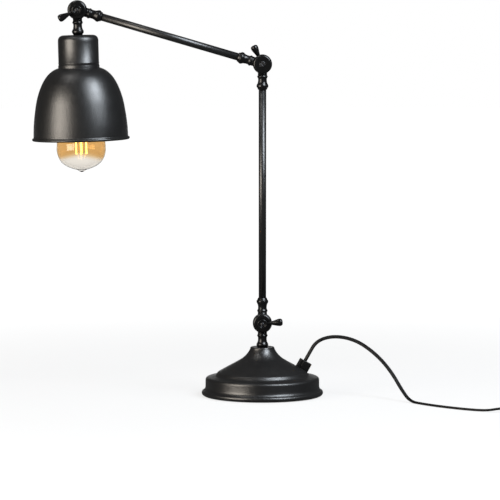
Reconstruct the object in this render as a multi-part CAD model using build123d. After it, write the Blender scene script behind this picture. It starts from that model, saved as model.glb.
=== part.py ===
from build123d import *
import math
import os

# Swing-arm desk lamp, in millimetres. It stands on Z = 0 with the centre of its base at the origin.
# The arm reaches towards -X, the viewer stands on -Y, and all hinge axes run along Y.

# Base: a spun steel cover over a cast iron weight
base_h = 64.5            # top of the cover, where the swivel stands
rim_r = 80.0             # widest point of the bead round the foot
rim_h = 7.4              # height of that bead
bead_w = 5.0             # how far the bead stands out of the drum's upright wall
drum_h = 24.2            # top edge of that wall
drum_edge = 3.4          # rounding of the wall's top edge
ledge_w = 13.0           # from the wall in to the foot of the small step
step_w = 3.4             # from there to the top of the step, where the cone starts
step_h = 31.2
neck_len = 16.5          # from the cone's top, where it turns up, to the top of the cover
neck_r = 15.4
neck_flare = 13.1        # how much wider the neck is where it leaves the cone
cover_wall = 2.0
felt_t = 1.2
weight_gap = 0.3         # weight's edge to the cover's drum
weight_t = 14.0
weight_bore_r = 16.0

# Hollow threaded nipples, M10 x 1, that hold the base and the shade cup to their swivels
nipple_r = 5.0
nipple_bore_r = 3.4
nut_flats = 14.0
nut_t = 4.2

# Clamp swivel: two halves on one stud, squeezed by a lever
swivel_r = 12.6
half_out = 7.75          # outer face of a half, from the middle between the halves
bevel_in = 2.0           # bevel of the outer face, along the radius
bevel_t = 1.8            # and along the axis
run_gap = 0.3            # free gap between parts that turn on each other
fit_gap = 0.05           # radial clearance of a shaft in its bore
stud_r = 2.5
stud_head_r = 4.0
stud_head_t = 1.6
stud_head_gap = 0.15     # round the head in its recess
socket_gap = 0.05        # round a tube or nipple in its socket
stud_proud = 0.4         # head above the half's face
stud_recess = 0.6        # its end below the hub's face
slot_w = 1.0
slot_depth = 0.9
collar_foot = 5.0        # where the collar starts inside the disc

# Turned collars on the swivel halves: distances from the hinge axis, and radii
collar_neck_r = 6.1
collar_clear = 0.4       # collar to the other half's rim
small_bead_at = 16.3
small_bead_half = 1.5
small_bead_r = 6.95
waist_at = 21.8
waist_r = 6.1
big_bead_at = 28.6
big_bead_half = 2.7
big_bead_r = 7.75
big_bead_foot_r = 6.7
tube_collar_len = 33.4
tube_collar_end_r = 6.0
foot_collar_len = 31.4
foot_collar_end_r = 6.9
head_collar_len = 32.9
head_collar_end_r = 6.1
nipple_depth = 11.0      # thread inside the foot and head collars

# Levers
hub_r = 6.45
hub_t = 9.2
hub_edge = 1.3
lever_off = 5.4          # lever arm's centre line above the hub's inner face
lever_neck_r = 2.1
lever_neck_at = 9.5
lever_end_r = 4.9
lever_end_at = 23.0
lever_len = 26.7
lower_lever_angle = 6.0     # degrees from +X towards +Z, as the viewer sees them
elbow_lever_angle = 116.6
head_lever_angle = 207.0

# Tubes
tube_r = 4.95
tube_bore_r = 3.5
bore_start = 8.7         # wire channel's end from the hinge axis
tube_seat = 25.4         # tube end from the hinge axis, at the bottom of its socket
stem_span = 340.5        # between the lower swivel and the elbow
arm_span = 252.0         # between the elbow and the head
arm_rise = 16.3          # degrees above level
head_tilt = 1.4          # degrees, lower edge of the shade towards +X
wire_r = 3.1
wire_stop = 13.5         # wire end from the hinge axis

# Shade cup and bell: distances below the head's hinge axis, and radii
cup_r = 26.5
cup_wall = 1.2
cup_shoulder = 8.5
cup_end = 72.0
bell_wall = 1.0
band_r = 27.0
band_len = 4.0
bell_profile = [         # outside of the bell's dome and flare
    (34.6, 79.0),
    (41.0, 84.4),
    (46.8, 92.3),
    (51.8, 102.8),
    (55.9, 115.2),
    (59.1, 131.8),
    (61.3, 150.0),
]
bell_end_r = 62.0
bell_end_at = 166.0
rolled_r = 2.0           # rolled edge of the bell

# Lampholder, E27
holder_r = 19.7
holder_wall = 2.6
holder_top_r = 9.0
holder_joint = 64.0      # seam between the holder's cap and its body
holder_end = 97.0
holder_lip_r = 22.0
holder_lip_t = 2.2
web_t = 1.2              # bell's inner web, clamped under the holder's lip
ring_r = 24.3
ring_len = 8.0
thread_gap = 0.15        # bulb's cap to the holder
holder_floor_t = 4.0
spring_contact_w = 6.0
spring_contact_r = 2.4
contact_rise = 2.2       # sprung contact's height under the bulb's tip

# Bulb, ST64 with an E27 cap
bulb_contact_at = 72.4   # its tip contact
cap_r = 13.2
cap_len = 25.5
insulator_t = 3.2
tip_r = 4.7
tip_t = 1.4
glass_wall = 0.8
glass_profile = [        # outside of the glass from its neck to its tip
    (12.9, 99.0),
    (16.2, 113.5),
    (21.3, 131.0),
    (26.4, 146.0),
    (30.2, 162.0),
    (32.0, 175.0),
    (32.2, 183.0),
    (30.2, 192.0),
    (26.2, 199.0),
    (20.3, 203.8),
    (9.9, 208.2),
    (4.0, 210.6),
]
bulb_wide_at = 181.0
bulb_end_at = 212.2
filament_r = 0.9
filament_len = 38.0
filament_circle_r = 6.7
filament_end_at = 185.5
filament_count = 4
mount_r = 3.4            # glass stem inside the bulb
mount_flare_len = 9.0    # lengths of its flare and of the taper above it
mount_taper_len = 11.0
mount_end_at = 140.0
support_r = 0.35

# Two-part cord grip in the cone
grip_in = 7.1            # from the cone's foot in to its centre, along the radius
grip_turn = 8.0          # degrees from +X towards +Y
grip_h = 9.8
grip_w = 12.4
grip_body_out = 8.0      # body's side away from the lamp, from the cord's centre
grip_wedge_out = 6.7     # wedge's side towards the lamp
grip_edge = 1.2
grip_neck_w = 8.8
grip_neck_out = 5.4
grip_neck_len = 5.0
grip_lug = 1.6           # snap lug below the cover
grip_hole_gap = 0.2
grip_split = 0.1

# Cord: flat twin, shown as a six-sided tube where it lies free
cord_w = 4.8
cord_t = 2.9
cord_gap = 0.1
cord_r = cord_w / 2
cord_sides = 6
coil_sides = 4           # fewer, as its turns repeat

# In-line switch
switch_len = 58.0
switch_w = 24.0
switch_h = 18.0
switch_wall = 2.0
switch_end_w = 11.0
switch_nose = 17.0       # length that narrows to each end
switch_grip = 4.0        # cord's length inside each nose
rocker_len = 17.0
rocker_w = 11.0
rocker_throw = 14.0      # degrees between off and on
rocker_pin_r = 1.0
rocker_pin_len = 1.2
rocker_proud = 2.0
key_gap = 0.35

# Flat two-pin plug
plug_w = 35.3
plug_t = 13.7
plug_len = 34.0
plug_grip_w = 22.0
plug_tail_len = 12.0
plug_edge = 2.4
pin_r = 2.0
pin_len = 19.0
pin_pitch = 18.6

# Put-away coil
coil_x, coil_y = 366.5, -74.0
coil_out_r = 39.4
inward_turns = 7         # half turns on the lower layer, towards the middle
outward_turns = 6        # half turns on the upper layer
coil_pitch = 6.2         # between turns, and between layers
coil_lift = 0.9          # over the tie's under side
climb_steps = 12         # sections of the half turn that climbs from one layer to the next
tie_w = 8.0
tie_t = 0.7
tie_gap = 0.35
tie_edge = 1.6           # its bent corners

# Sides of the turned pieces, which are made of flat steps
big_sides = 36           # base
head_sides = 28          # shade, lampholder and bulb
disc_sides = 24          # swivel discs and hubs
small_sides = 16
collar_sides = 14
lever_sides = 12

pole_r = 0.3             # flat left where a rounded end meets its axis

# Places worked out from the sizes above
floor_gap = 0.6          # cover's lower edge above the floor
swivel_z = base_h + foot_collar_len
elbow_z = swivel_z + stem_span
arm_angle = math.radians(arm_rise)
head_x = -arm_span * math.cos(arm_angle)
head_z = elbow_z + arm_span * math.sin(arm_angle)
half_gap = run_gap / 2
hub_in = half_out + run_gap
stud_len = hub_in + hub_t - stud_recess + half_out + stud_proud
drum_r = rim_r - bead_w
ledge_r = drum_r - ledge_w
step_r = ledge_r - step_w
cone_top_r = neck_r + neck_flare
cone_top_h = base_h - neck_len
cone_rise = (cone_top_h - step_h) / (step_r - cone_top_r)
cone_slope = math.degrees(math.atan(cone_rise))
grip_r = step_r - grip_in
grip_foot_z = step_h + grip_in * cone_rise
glass_neck_r = cap_r - 0.45
weight_r = drum_r - cover_wall - weight_gap
web_at = cup_end + band_len + 0.8
holder_top = head_collar_len + cup_wall + 0.1


def turned(*outline, sides=small_sides):
    """A closed outline in (radius, height), turned about Z in flat steps to keep the mesh light."""
    turns = [math.tau * k / sides for k in range(sides)]
    rings = [[Vector(r * math.cos(t), r * math.sin(t), z) for t in turns] for r, z in outline]
    faces = []
    pairs = zip(outline, outline[1:] + outline[:1])
    for ((r1, z1), (r2, z2)), first, second in zip(pairs, rings, rings[1:] + rings[:1]):
        if z1 == z2 and r1 != r2:
            wide, narrow = (first, second) if r1 > r2 else (second, first)
            holes = [Wire.make_polygon(narrow)] if min(r1, r2) > 0 else []
            faces.append(Face(Wire.make_polygon(wide), holes))
        elif r1 > 0 or r2 > 0:
            for k in range(sides):
                near = [first[k - 1], first[k]] if r1 > 0 else [first[k]]
                far = [second[k], second[k - 1]] if r2 > 0 else [second[k]]
                faces.append(Face(Wire.make_polygon(near + far)))
    return Solid(Shell(faces))


def ring(outer, inner, bottom, top, sides=small_sides):
    """A plain ring about Z."""
    return turned((inner, bottom), (outer, bottom), (outer, top), (inner, top), sides=sides)


def prism(radius, bottom, top, sides=small_sides):
    """A rod about Z with flat sides."""
    return Pos(0, 0, bottom) * extrude(RegularPolygon(radius, sides), top - bottom)


def rod(radius, bottom, top):
    """A plain cylinder about Z."""
    return Pos(0, 0, bottom) * Cylinder(radius, top - bottom, align=(Align.CENTER, Align.CENTER, Align.MIN))


def crosswise(part, side):
    """Turns a part made along +Z so that it points along Y, to the side -1 or +1."""
    return Rot(-90 * side, 0, 0) * part


def base_cover():
    """Spun cover: bead, drum, step, cone and neck, hollow below."""
    w = cover_wall
    hole = nipple_r + grip_hole_gap
    outer = [
        (rim_r - 2.4, floor_gap),
        (rim_r, floor_gap + 2.2),
        (rim_r - 0.4, rim_h - 1.6),
        (rim_r - 2.6, rim_h),
        (drum_r, rim_h + 5.0),
        (drum_r, drum_h - drum_edge),
        (drum_r - drum_edge * 0.3, drum_h - drum_edge * 0.3),
        (drum_r - drum_edge, drum_h),
        (ledge_r, drum_h + 2.8),
        (step_r, step_h),
        (cone_top_r, cone_top_h),
        (neck_r + 5.4, cone_top_h + 5.8),
        (neck_r + 1.1, cone_top_h + 11.5),
        (neck_r, base_h - 0.9),
        (neck_r - 1.0, base_h),
        (hole, base_h),
    ]
    inner = [
        (hole, base_h - w),
        (neck_r - w, base_h - w),
        (cone_top_r - w, cone_top_h - w * 0.6),
        (step_r - 0.6, step_h - w * 1.1),
        (drum_r - w, drum_h - w - 1.0),
    ]
    cover = turned((drum_r - w, floor_gap), *outer, *inner, sides=big_sides)
    return cover - grip_place() * grip_hole()


def felt_pad():
    return prism(weight_r - 1.0, 0, felt_t, big_sides)


def base_weight():
    """Cast disc that fills the drum, with a hole for the wires."""
    top = felt_t + weight_t
    edge = 2.5
    return turned(
        (weight_bore_r, felt_t),
        (weight_r, felt_t),
        (weight_r, top - edge),
        (weight_r - edge, top),
        (weight_bore_r, top),
        sides=big_sides,
    )


def base_nipple():
    return ring(nipple_r, nipple_bore_r, base_h - cover_wall - nut_t - 1.5, base_h + nipple_depth)


def hex_nut():
    top = base_h - cover_wall
    nut = Pos(0, 0, top - nut_t) * extrude(RegularPolygon(nut_flats / 2, 6, major_radius=False), nut_t)
    return nut - prism(nipple_r + fit_gap, top - nut_t, top)


def collar(length, end_r):
    """Turned collar about Z, from inside the swivel disc to its end at the given length."""
    return turned(
        (0, collar_foot),
        (collar_neck_r, collar_foot),
        (collar_neck_r, small_bead_at - small_bead_half),
        (small_bead_r, small_bead_at),
        (waist_r, small_bead_at + small_bead_half),
        (waist_r, waist_at + 1.6),
        (big_bead_foot_r, big_bead_at - big_bead_half),
        (big_bead_r, big_bead_at - 1.0),
        (big_bead_r, big_bead_at + 1.0),
        (big_bead_foot_r, big_bead_at + big_bead_half * 0.9),
        (end_r, length),
        (0, length),
        sides=collar_sides,
    )


def swivel_half(side, length, end_r, socket_r, socket_at, holds_stud):
    """Half a clamp swivel at the origin, its disc on the Y side given and its collar pointing to +Z."""
    disc = turned(
        (0, half_gap),
        (swivel_r, half_gap),
        (swivel_r, half_out - bevel_t),
        (swivel_r - bevel_in, half_out),
        (0, half_out),
        sides=disc_sides,
    )
    other_side = prism(swivel_r + collar_clear, -half_gap - swivel_r, half_gap, disc_sides)
    half = crosswise(disc, side) + (collar(length, end_r) - crosswise(other_side, side))
    half -= crosswise(rod(stud_r + fit_gap, half_gap, half_out), side)
    if holds_stud:
        recess = prism(stud_head_r + stud_head_gap, half_out - stud_head_t + stud_proud, half_out)
        half -= crosswise(recess, side)
    half -= prism(tube_bore_r, bore_start, socket_at)
    return half - prism(socket_r + socket_gap, socket_at, length)


def stud(side):
    """Slotted stud, its head in the half on the Y side given and its end in the lever's hub."""
    head_top = half_out + stud_proud
    shaft = rod(stud_r, head_top - stud_len, head_top - stud_head_t)
    head = prism(stud_head_r, head_top - stud_head_t, head_top)
    slot = Pos(0, 0, head_top) * Rot(0, 0, 45) * Box(stud_head_r * 3, slot_w, slot_depth * 2)
    end_slot = Pos(0, 0, head_top - stud_len) * Box(stud_r * 3, slot_w, slot_depth * 2)
    return crosswise(shaft + head - slot - end_slot, side)


def lever(side, angle):
    """Clamping lever: threaded hub and turned drop-shaped arm, pointing at the angle that the viewer sees."""
    hub_top = hub_in + hub_t
    hub = turned(
        (0, hub_in),
        (hub_r, hub_in),
        (hub_r, hub_top - hub_edge),
        (hub_r - hub_edge, hub_top),
        (0, hub_top),
        sides=disc_sides,
    )
    arm = turned(
        (0, stud_r + 1.0),
        (lever_neck_r, stud_r + 1.0),
        (lever_neck_r, lever_neck_at),
        (lever_end_r - 0.9, lever_end_at - 4.6),
        (lever_end_r, lever_end_at - 1.2),
        (lever_end_r - 0.5, lever_end_at + 1.6),
        (lever_end_r - 2.6, lever_len - 0.3),
        (0, lever_len),
        sides=lever_sides,
    )
    arm = Pos(0, side * (hub_in + lever_off), 0) * arm
    bore = rod(stud_r + fit_gap, hub_in, hub_top)
    return Rot(0, 90 - angle, 0) * (crosswise(hub, side) + arm - crosswise(bore, side))


def at_swivel():
    return Pos(0, 0, swivel_z)


def at_elbow():
    return Pos(0, 0, elbow_z)


def at_head():
    return Pos(head_x, 0, head_z)


def along_arm():
    """Turns a part that points to +Z so that it points from the elbow to the head."""
    return Rot(0, arm_rise - 90, 0)


def down_head():
    """Turns a part that points to +Z so that it hangs from the head's hinge."""
    return Rot(0, 180 - head_tilt, 0)


def lamp_tube(span):
    return ring(tube_r, tube_bore_r, tube_seat, span - tube_seat)


def lamp_wire(span):
    return prism(wire_r, wire_stop, span - wire_stop)


def shade_cup():
    """Drawn cup over the lampholder, about Z, pointing down the head from its hinge axis."""
    top, r, w, s = head_collar_len, cup_r, cup_wall, cup_shoulder
    hole = nipple_r + fit_gap
    return turned(
        (hole, top),
        (r - s, top),
        (r - s * 0.3, top + s * 0.3),
        (r, top + s),
        (r, cup_end),
        (r - w, cup_end),
        (r - w, top + s),
        (r - s, top + w),
        (hole, top + w),
        sides=head_sides,
    )


def shade_bell():
    """Spun bell about Z: neck band, dome, flare, rolled edge and the web that is clamped to the holder."""
    w, hole = bell_wall, holder_r + fit_gap
    top = cup_end + 0.1
    dome = [(band_r, cup_end + band_len), *bell_profile, (bell_end_r, bell_end_at)]
    roll = [
        (bell_end_r + 0.6, bell_end_at + 0.3),
        (bell_end_r + rolled_r, bell_end_at + rolled_r * 0.7),
        (bell_end_r + rolled_r, bell_end_at + rolled_r * 1.2),
        (bell_end_r + 0.6, bell_end_at + rolled_r * 1.75),
        (bell_end_r - w, bell_end_at + rolled_r * 1.75),
    ]
    lining = [(r - w, at + lean) for (r, at), lean in zip(bell_profile[::-2], (0.2, 0.4, 0.8, 1.4))]
    web = [(band_r - w, web_at + web_t), (hole, web_at + web_t), (hole, web_at), (band_r - w, web_at)]
    return turned((band_r - w, top), (band_r, top), *dome, *roll, *lining, *web, sides=head_sides)


def holder_cap():
    """Upper shell of the lampholder, screwed on the nipple."""
    top, w = holder_top, holder_wall
    return turned(
        (nipple_r + fit_gap, top),
        (holder_top_r, top),
        (holder_top_r, top + 6.0),
        (holder_r, top + 14.5),
        (holder_r, holder_joint),
        (holder_r - w, holder_joint),
        (holder_r - w, top + 16.0),
        (nipple_r + fit_gap, top + 10.0),
        sides=head_sides,
    )


def holder_body():
    """Threaded skirt of the lampholder: the lip over the shade's web, and the floor under the contact."""
    seam = holder_joint + fit_gap
    socket_r = cap_r + thread_gap
    floor = bulb_contact_at - contact_rise
    return turned(
        (0, floor - holder_floor_t),
        (holder_r - holder_wall, floor - holder_floor_t),
        (holder_r - holder_wall, seam),
        (holder_r, seam),
        (holder_r, web_at - holder_lip_t),
        (holder_lip_r, web_at - holder_lip_t),
        (holder_lip_r, web_at - fit_gap),
        (holder_r, web_at - fit_gap),
        (holder_r, holder_end),
        (socket_r, holder_end),
        (socket_r, floor),
        (0, floor),
        sides=head_sides,
    )


def shade_ring():
    """Knurled ring nut that clamps the shade's web to the holder."""
    top = web_at + web_t + 0.05
    nut = ring(ring_r, holder_r + fit_gap, top, top + ring_len, head_sides)
    groove = Pos(ring_r, 0, top + ring_len / 2) * Box(1.4, 1.6, ring_len + 2.0)
    return nut - [place * groove for place in PolarLocations(0, head_sides // 2)]


def centre_contact():
    """Sprung strip that meets the bulb's tip."""
    bottom = bulb_contact_at - contact_rise
    strip = Pos(3.0, 0, bottom + 0.25) * Box(9.0, spring_contact_w, 0.5)
    return strip + prism(spring_contact_r, bottom, bulb_contact_at - fit_gap)


def bulb_cap():
    """Screw cap: cone to the insulator, threaded length and the plain end over the glass neck."""
    start = bulb_contact_at + tip_t + insulator_t
    end = bulb_contact_at + cap_len
    return turned(
        (tip_r + 3.0, start),
        (cap_r - 1.6, start),
        (cap_r, start + 2.5),
        (cap_r, end),
        (glass_neck_r + fit_gap, end),
        (glass_neck_r + fit_gap, start + 3.5),
        (tip_r + 3.0, start + 2.5),
        sides=head_sides,
    )


def bulb_insulator():
    start = bulb_contact_at + tip_t
    return turned(
        (0, start),
        (tip_r + 0.6, start),
        (cap_r - 2.0, start + insulator_t - fit_gap),
        (0, start + insulator_t - fit_gap),
        sides=head_sides,
    )


def bulb_tip():
    top = bulb_contact_at
    return turned((0, top), (tip_r - 1.2, top), (tip_r, top + tip_t - fit_gap), (0, top + tip_t - fit_gap))


def bulb_glass():
    """Blown drop-shaped glass with its short drawn tip, hollow, from the neck in the cap."""
    start = bulb_contact_at + cap_len - 6.0
    w = glass_wall
    inside = [(r - w, at - w * 0.6 * (at > bulb_wide_at)) for r, at in glass_profile[-1:0:-2]]
    return turned(
        (glass_neck_r - w, start),
        (glass_neck_r, start),
        *glass_profile,
        (pole_r, bulb_end_at),
        (0, bulb_end_at),
        (0, bulb_end_at - 3.5),
        *inside,
        sides=head_sides,
    )


def bulb_mount():
    """Glass stem that carries the filaments, sealed into the neck."""
    start = bulb_contact_at + cap_len - 5.8
    flare_r = glass_neck_r - glass_wall - 0.15
    return turned(
        (0, start),
        (flare_r, start),
        (mount_r + 1.8, start + mount_flare_len),
        (mount_r, start + mount_flare_len + mount_taper_len),
        (mount_r, mount_end_at - 2.0),
        (pole_r, mount_end_at),
        (0, mount_end_at),
    )


def filament_places():
    return PolarLocations(filament_circle_r, filament_count)


def bulb_filaments():
    """Upright glowing rods on a circle round the bulb's axis."""
    stick = prism(filament_r, filament_end_at - filament_len, filament_end_at, 8)
    return Compound([place * stick for place in filament_places()])


def bulb_supports():
    """Wires: from the mount to each filament's top, and a cross that joins their lower ends."""
    start = Vector(mount_r * 0.3, 0, mount_end_at + 0.2)
    end = Vector(filament_circle_r, 0, filament_end_at - filament_len - support_r)
    run = end - start
    lean = math.degrees(math.atan2(run.X, run.Z))
    leg = Pos(*start) * Rot(0, lean, 0) * prism(support_r, 0, run.length, 6)
    bar_at = Pos(filament_circle_r / 2, 0, filament_end_at + support_r + fit_gap)
    bar = bar_at * Box(filament_circle_r + support_r * 2, support_r * 2, support_r * 2)
    places = PolarLocations(0, filament_count)
    cross = Part() + [place * bar for place in places]
    return Compound([*(place * leg for place in places), cross])


def grip_place():
    """Frame of the cord grip: origin on the cone, Z square to it, X down the slope, Y along the level."""
    return Rot(0, 0, grip_turn) * Pos(grip_r, 0, grip_foot_z) * Rot(0, cone_slope, 0)


def grip_hole():
    size = grip_neck_out * 2 + grip_hole_gap * 2
    return Box(size, grip_neck_w + grip_hole_gap * 2, cover_wall * 5)


def cord_slot():
    """The gap that the flat cord passes, through the whole grip."""
    return Box(cord_t + cord_gap * 2, cord_w + cord_gap * 2, (grip_h + grip_neck_len) * 3)


def grip_body():
    """The outer jaw of the cord grip, with its neck and snap lugs below the cover."""
    split = -cord_t / 2 - cord_gap
    size = grip_body_out - split
    low = Align.MIN
    jaw = Pos(split, 0, 0.05) * Box(size, grip_w, grip_h - 0.05, align=(low, Align.CENTER, low))
    edges = jaw.edges()
    jaw = chamfer(edges.group_by(Axis.X)[-1] + edges.group_by(Axis.Z)[-1].filter_by(Axis.X), grip_edge)
    neck_box = Box(grip_neck_out - split, grip_neck_w, grip_neck_len + 0.1, align=(low, Align.CENTER, low))
    neck = Pos(split, 0, -grip_neck_len) * neck_box
    lug = Pos(grip_neck_out, 0, -cover_wall - grip_lug) * Box(grip_lug, grip_neck_w - 2.0, grip_lug)
    return jaw + neck + lug - cord_slot()


def grip_wedge():
    """The inner jaw, a rounded slab pushed in beside the cord."""
    split = -cord_t / 2 - cord_gap - grip_split
    size = grip_wedge_out + split
    low, high = Align.MIN, Align.MAX
    slab = Pos(split, 0, 0.05) * Box(size, grip_w - 2.0, grip_h - 0.7, align=(high, Align.CENTER, low))
    slab = chamfer(slab.edges().group_by(Axis.Z)[-1].filter_by(Axis.Y).sort_by(Axis.X)[0], size * 0.4)
    tongue_size = grip_neck_out + split
    tongue = Pos(split, 0, -grip_neck_len) * Box(
        tongue_size, grip_neck_w, grip_neck_len + 0.1, align=(high, Align.CENTER, low)
    )
    return slab + tongue


def fillet_radii(points):
    """The radius at each inner corner: 0.45 of the shorter run over the tangent of half the turn."""
    radii = []
    for before, here, after in zip(points, points[1:], points[2:]):
        first, second = Vector(here) - Vector(before), Vector(after) - Vector(here)
        half_turn = math.radians(first.get_angle(second)) / 2
        radii.append(0.45 * min(first.length, second.length) / math.tan(half_turn))
    return radii


def swept_cord(name, points, radius=cord_r, sides=cord_sides):
    """A cord's tube along straight runs and tangent arcs, with its radii and volume printed."""
    radii = fillet_radii(points)
    path = FilletPolyline(*points, radius=radii)
    start = Plane(origin=path @ 0, z_dir=path % 0)
    tube = sweep(start * RegularPolygon(radius, sides), path=path)
    expected = RegularPolygon(radius, sides).area * path.length
    print(f"{name}: length {path.length:.1f}, volume ratio {tube.volume / expected:.4f}")
    print(f"{name}: least radius {min(radii):.1f}, radii", [round(r) for r in radii])
    return tube


def inner_lead_points():
    """Route of the flat cord inside the base: from the grip's top to the swivel's wire channel."""
    place = grip_place()
    top = (place * Pos(0, 0, grip_h)).position
    low = (place * Pos(0, 0, -14.0)).position
    centre = Vector(0, 0, low.Z)
    up = Vector(0, 0, swivel_z - wire_stop)
    return [top, low, centre, up]


def inner_lead():
    points = inner_lead_points()
    path = FilletPolyline(*points, radius=fillet_radii(points))
    across = Vector(0, 1, 0).rotate(Axis.Z, grip_turn)
    start = Plane(origin=points[0], x_dir=across, z_dir=points[1] - points[0])
    return sweep(start * Rectangle(cord_w, cord_t), path=path)


def lead_start():
    """Where the cord leaves the grip, and a point straight out of it."""
    place = grip_place()
    return (place * Pos(0, 0, grip_h)).position, (place * Pos(0, 0, grip_h + 13.0)).position


# The cord's free route from the grip, over its arch and down to the floor, to the switch
lead_points = [
    (70.5, 9.4, 69.5),
    (86.0, 8.0, 76.6),
    (105.0, 3.5, 77.4),
    (125.0, -4.0, 72.3),
    (142.5, -14.0, 61.5),
    (157.5, -26.0, 48.5),
    (170.5, -40.0, 32.5),
    (180.5, -55.0, 15.5),
    (191.0, -72.0, cord_r),
    (206.0, -94.0, cord_r),
    (225.0, -116.0, cord_r),
    (247.0, -136.0, cord_r),
    (269.0, -152.0, cord_r),
    (286.0, -160.5, cord_r + 0.4),
]
switch_x, switch_y = 341.0, -152.0
switch_turn = 15.0
switch_cord_z = 5.0


def switch_place():
    return Pos(switch_x, switch_y, 0) * Rot(0, 0, switch_turn)


def switch_end(out):
    """A point on the switch's cord axis, the distance given beyond its middle."""
    return (switch_place() * Pos(out, 0, switch_cord_z)).position


def lead_route():
    ends = [switch_end(-switch_len / 2 - 12.0), switch_end(-switch_len / 2 + switch_grip)]
    return [*lead_start(), *lead_points, *ends]


def coil_radii():
    """Distance from the coil's centre at the end of each half turn, and the layer that it ends on."""
    step = coil_pitch / 2
    lower = [(coil_out_r - step * k, 0) for k in range(inward_turns + 1)]
    inmost = lower[-1][0]
    return lower + [(inmost + step * k, 1) for k in range(outward_turns + 1)]


def coil_points():
    """The ends of the half turns, on either side of the coil in turn."""
    bottom = cord_r + coil_lift
    return [
        Vector(coil_x + (radius if k % 2 == 0 else -radius), coil_y, bottom + layer * coil_pitch)
        for k, (radius, layer) in enumerate(coil_radii())
    ]


def coil_path():
    """Half turns that are tangent where they meet, with a short straight end each side."""
    points = coil_points()
    ends = Vector(0, cord_w, 0)
    edges = [Line(points[0] - ends, points[0])]
    for k, (a, b) in enumerate(zip(points, points[1:])):
        bulge = Vector(0, (b - a).length / 2 * (1 if k % 2 == 0 else -1), 0)
        edges.append(ThreePointArc(a, (a + b) / 2 + bulge, b))
    edges.append(Line(points[-1], points[-1] + ends))
    return edges


def coil_gap(edges):
    """Least gap of the coil to itself, from points a millimetre apart along it."""
    spots, along, so_far = [], [], 0.0
    for edge in edges:
        count = max(2, int(edge.length / 1.5))
        for i in range(count):
            spots.append(edge @ (i / count))
            along.append(so_far + edge.length * i / count)
        so_far += edge.length
    least = 1e9
    for i, a in enumerate(spots):
        for b, far in zip(spots[i + 1:], along[i + 1:]):
            if far - along[i] > coil_out_r and abs(a.Z - b.Z) < cord_w * 2:
                least = min(least, (a - b).length)
    return least - cord_w


def cord_coil():
    """Two flat spirals, one on the other, and the half turn that climbs between them: one unbroken tube."""
    edges = coil_path()
    section = RegularPolygon(cord_r, coil_sides, rotation=45)
    climb = edges[inward_turns + 1]
    rungs = []
    for k in range(climb_steps + 1):
        way = climb % (k / climb_steps)
        level = Plane(origin=climb @ (k / climb_steps), x_dir=(0, 0, 1), z_dir=(way.X, way.Y, 0))
        rungs.append(level * section)
    tube = loft(rungs, ruled=True)
    for layer in (edges[:inward_turns + 1], edges[inward_turns + 2:]):
        path = Wire(layer)
        tube += sweep(Plane(origin=path @ 0, z_dir=path % 0) * section, path=path)
    length = sum(edge.length for edge in edges)
    print(f"cord_coil: length {length:.1f}, volume ratio {tube.volume / (section.area * length):.4f}")
    print(f"cord_coil: least gap {coil_gap(edges):.2f}")
    return tube


def tail_route():
    """From the switch to the coil, with one bend to the left."""
    coil_in = coil_points()[0] - Vector(0, cord_w, 0)
    return [
        switch_end(switch_len / 2 - switch_grip),
        switch_end(switch_len / 2 + 13.0),
        (395.0, -131.5, cord_r + 0.6),
        (401.0, -116.0, cord_r + 0.5),
        (coil_in.X, coil_in.Y - 15.0, coil_in.Z),
        coil_in,
    ]


plug_y = -16.0


def end_route():
    """From the coil's top turn down to the plug."""
    start = coil_points()[-1] + Vector(0, cord_w, 0)
    plug_z = plug_t / 2
    return [
        start,
        (start.X, start.Y + 12.0, start.Z),
        (start.X, plug_y - 13.0, plug_z),
        (start.X, plug_y, plug_z),
    ]


def coil_tie():
    """Flat strap round the bundle of turns, on the side away from the plug."""
    radii = [radius for radius, _ in coil_radii()]
    low = min(radii) - cord_r - tie_gap - 0.3
    high = max(radii) + cord_r + tie_gap
    top = coil_points()[-1].Z + cord_r + tie_gap
    wide = high - low
    mid = (coil_x - (low + high) / 2, coil_y, (tie_t + top) / 2)
    tall = top - tie_t
    outside = Pos(*mid) * Box(wide + tie_t * 2, tie_w, tall + tie_t * 2)
    inside = Pos(*mid) * Box(wide, tie_w + 2.0, tall)
    outside = chamfer(outside.edges().filter_by(Axis.Y), tie_edge + tie_t * 0.6)
    return outside - chamfer(inside.edges().filter_by(Axis.Y), tie_edge)


def switch_outline(inset):
    """Plan of the switch: a body that narrows to a nose at each end."""
    half, body = switch_len / 2 - inset, switch_w / 2 - inset
    shoulder = switch_len / 2 - switch_nose
    corner = [(shoulder, body), (half - 7.0, body - 2.3), (half - 1.5, switch_end_w / 2 - inset + 1.5)]
    corner.append((half, switch_end_w / 2 - inset))
    right = corner + [(x, -y) for x, y in reversed(corner)]
    return make_face(Polyline(*right, *[(-x, -y) for x, y in right], close=True))


def switch_shell(bottom, top, floor_at):
    """Half of the switch's housing, hollow, with a half round notch for the cord at each end."""
    shell = Pos(0, 0, bottom) * extrude(switch_outline(0), top - bottom)
    low = bottom + (switch_wall if floor_at == bottom else 0)
    high = top - (switch_wall if floor_at == top else 0)
    edge = shell.edges().group_by(Axis.Z)[0 if floor_at == bottom else -1]
    shell = chamfer(edge, 1.2)
    hollow = Pos(0, 0, low) * extrude(switch_outline(switch_wall), high - low)
    return shell - hollow


def switch_base():
    shell = switch_shell(0, switch_h / 2, 0)
    return switch_place() * (shell - cord_stubs())


def cord_stubs():
    """Room for the cord's ends in the switch's two noses."""
    stub = Rot(0, 90, 0) * rod(cord_r + cord_gap, 0, switch_wall + 6.0)
    right = Pos(switch_len / 2 - switch_wall - 6.0, 0, switch_cord_z) * stub
    return [right, Rot(0, 0, 180) * right]


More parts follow.
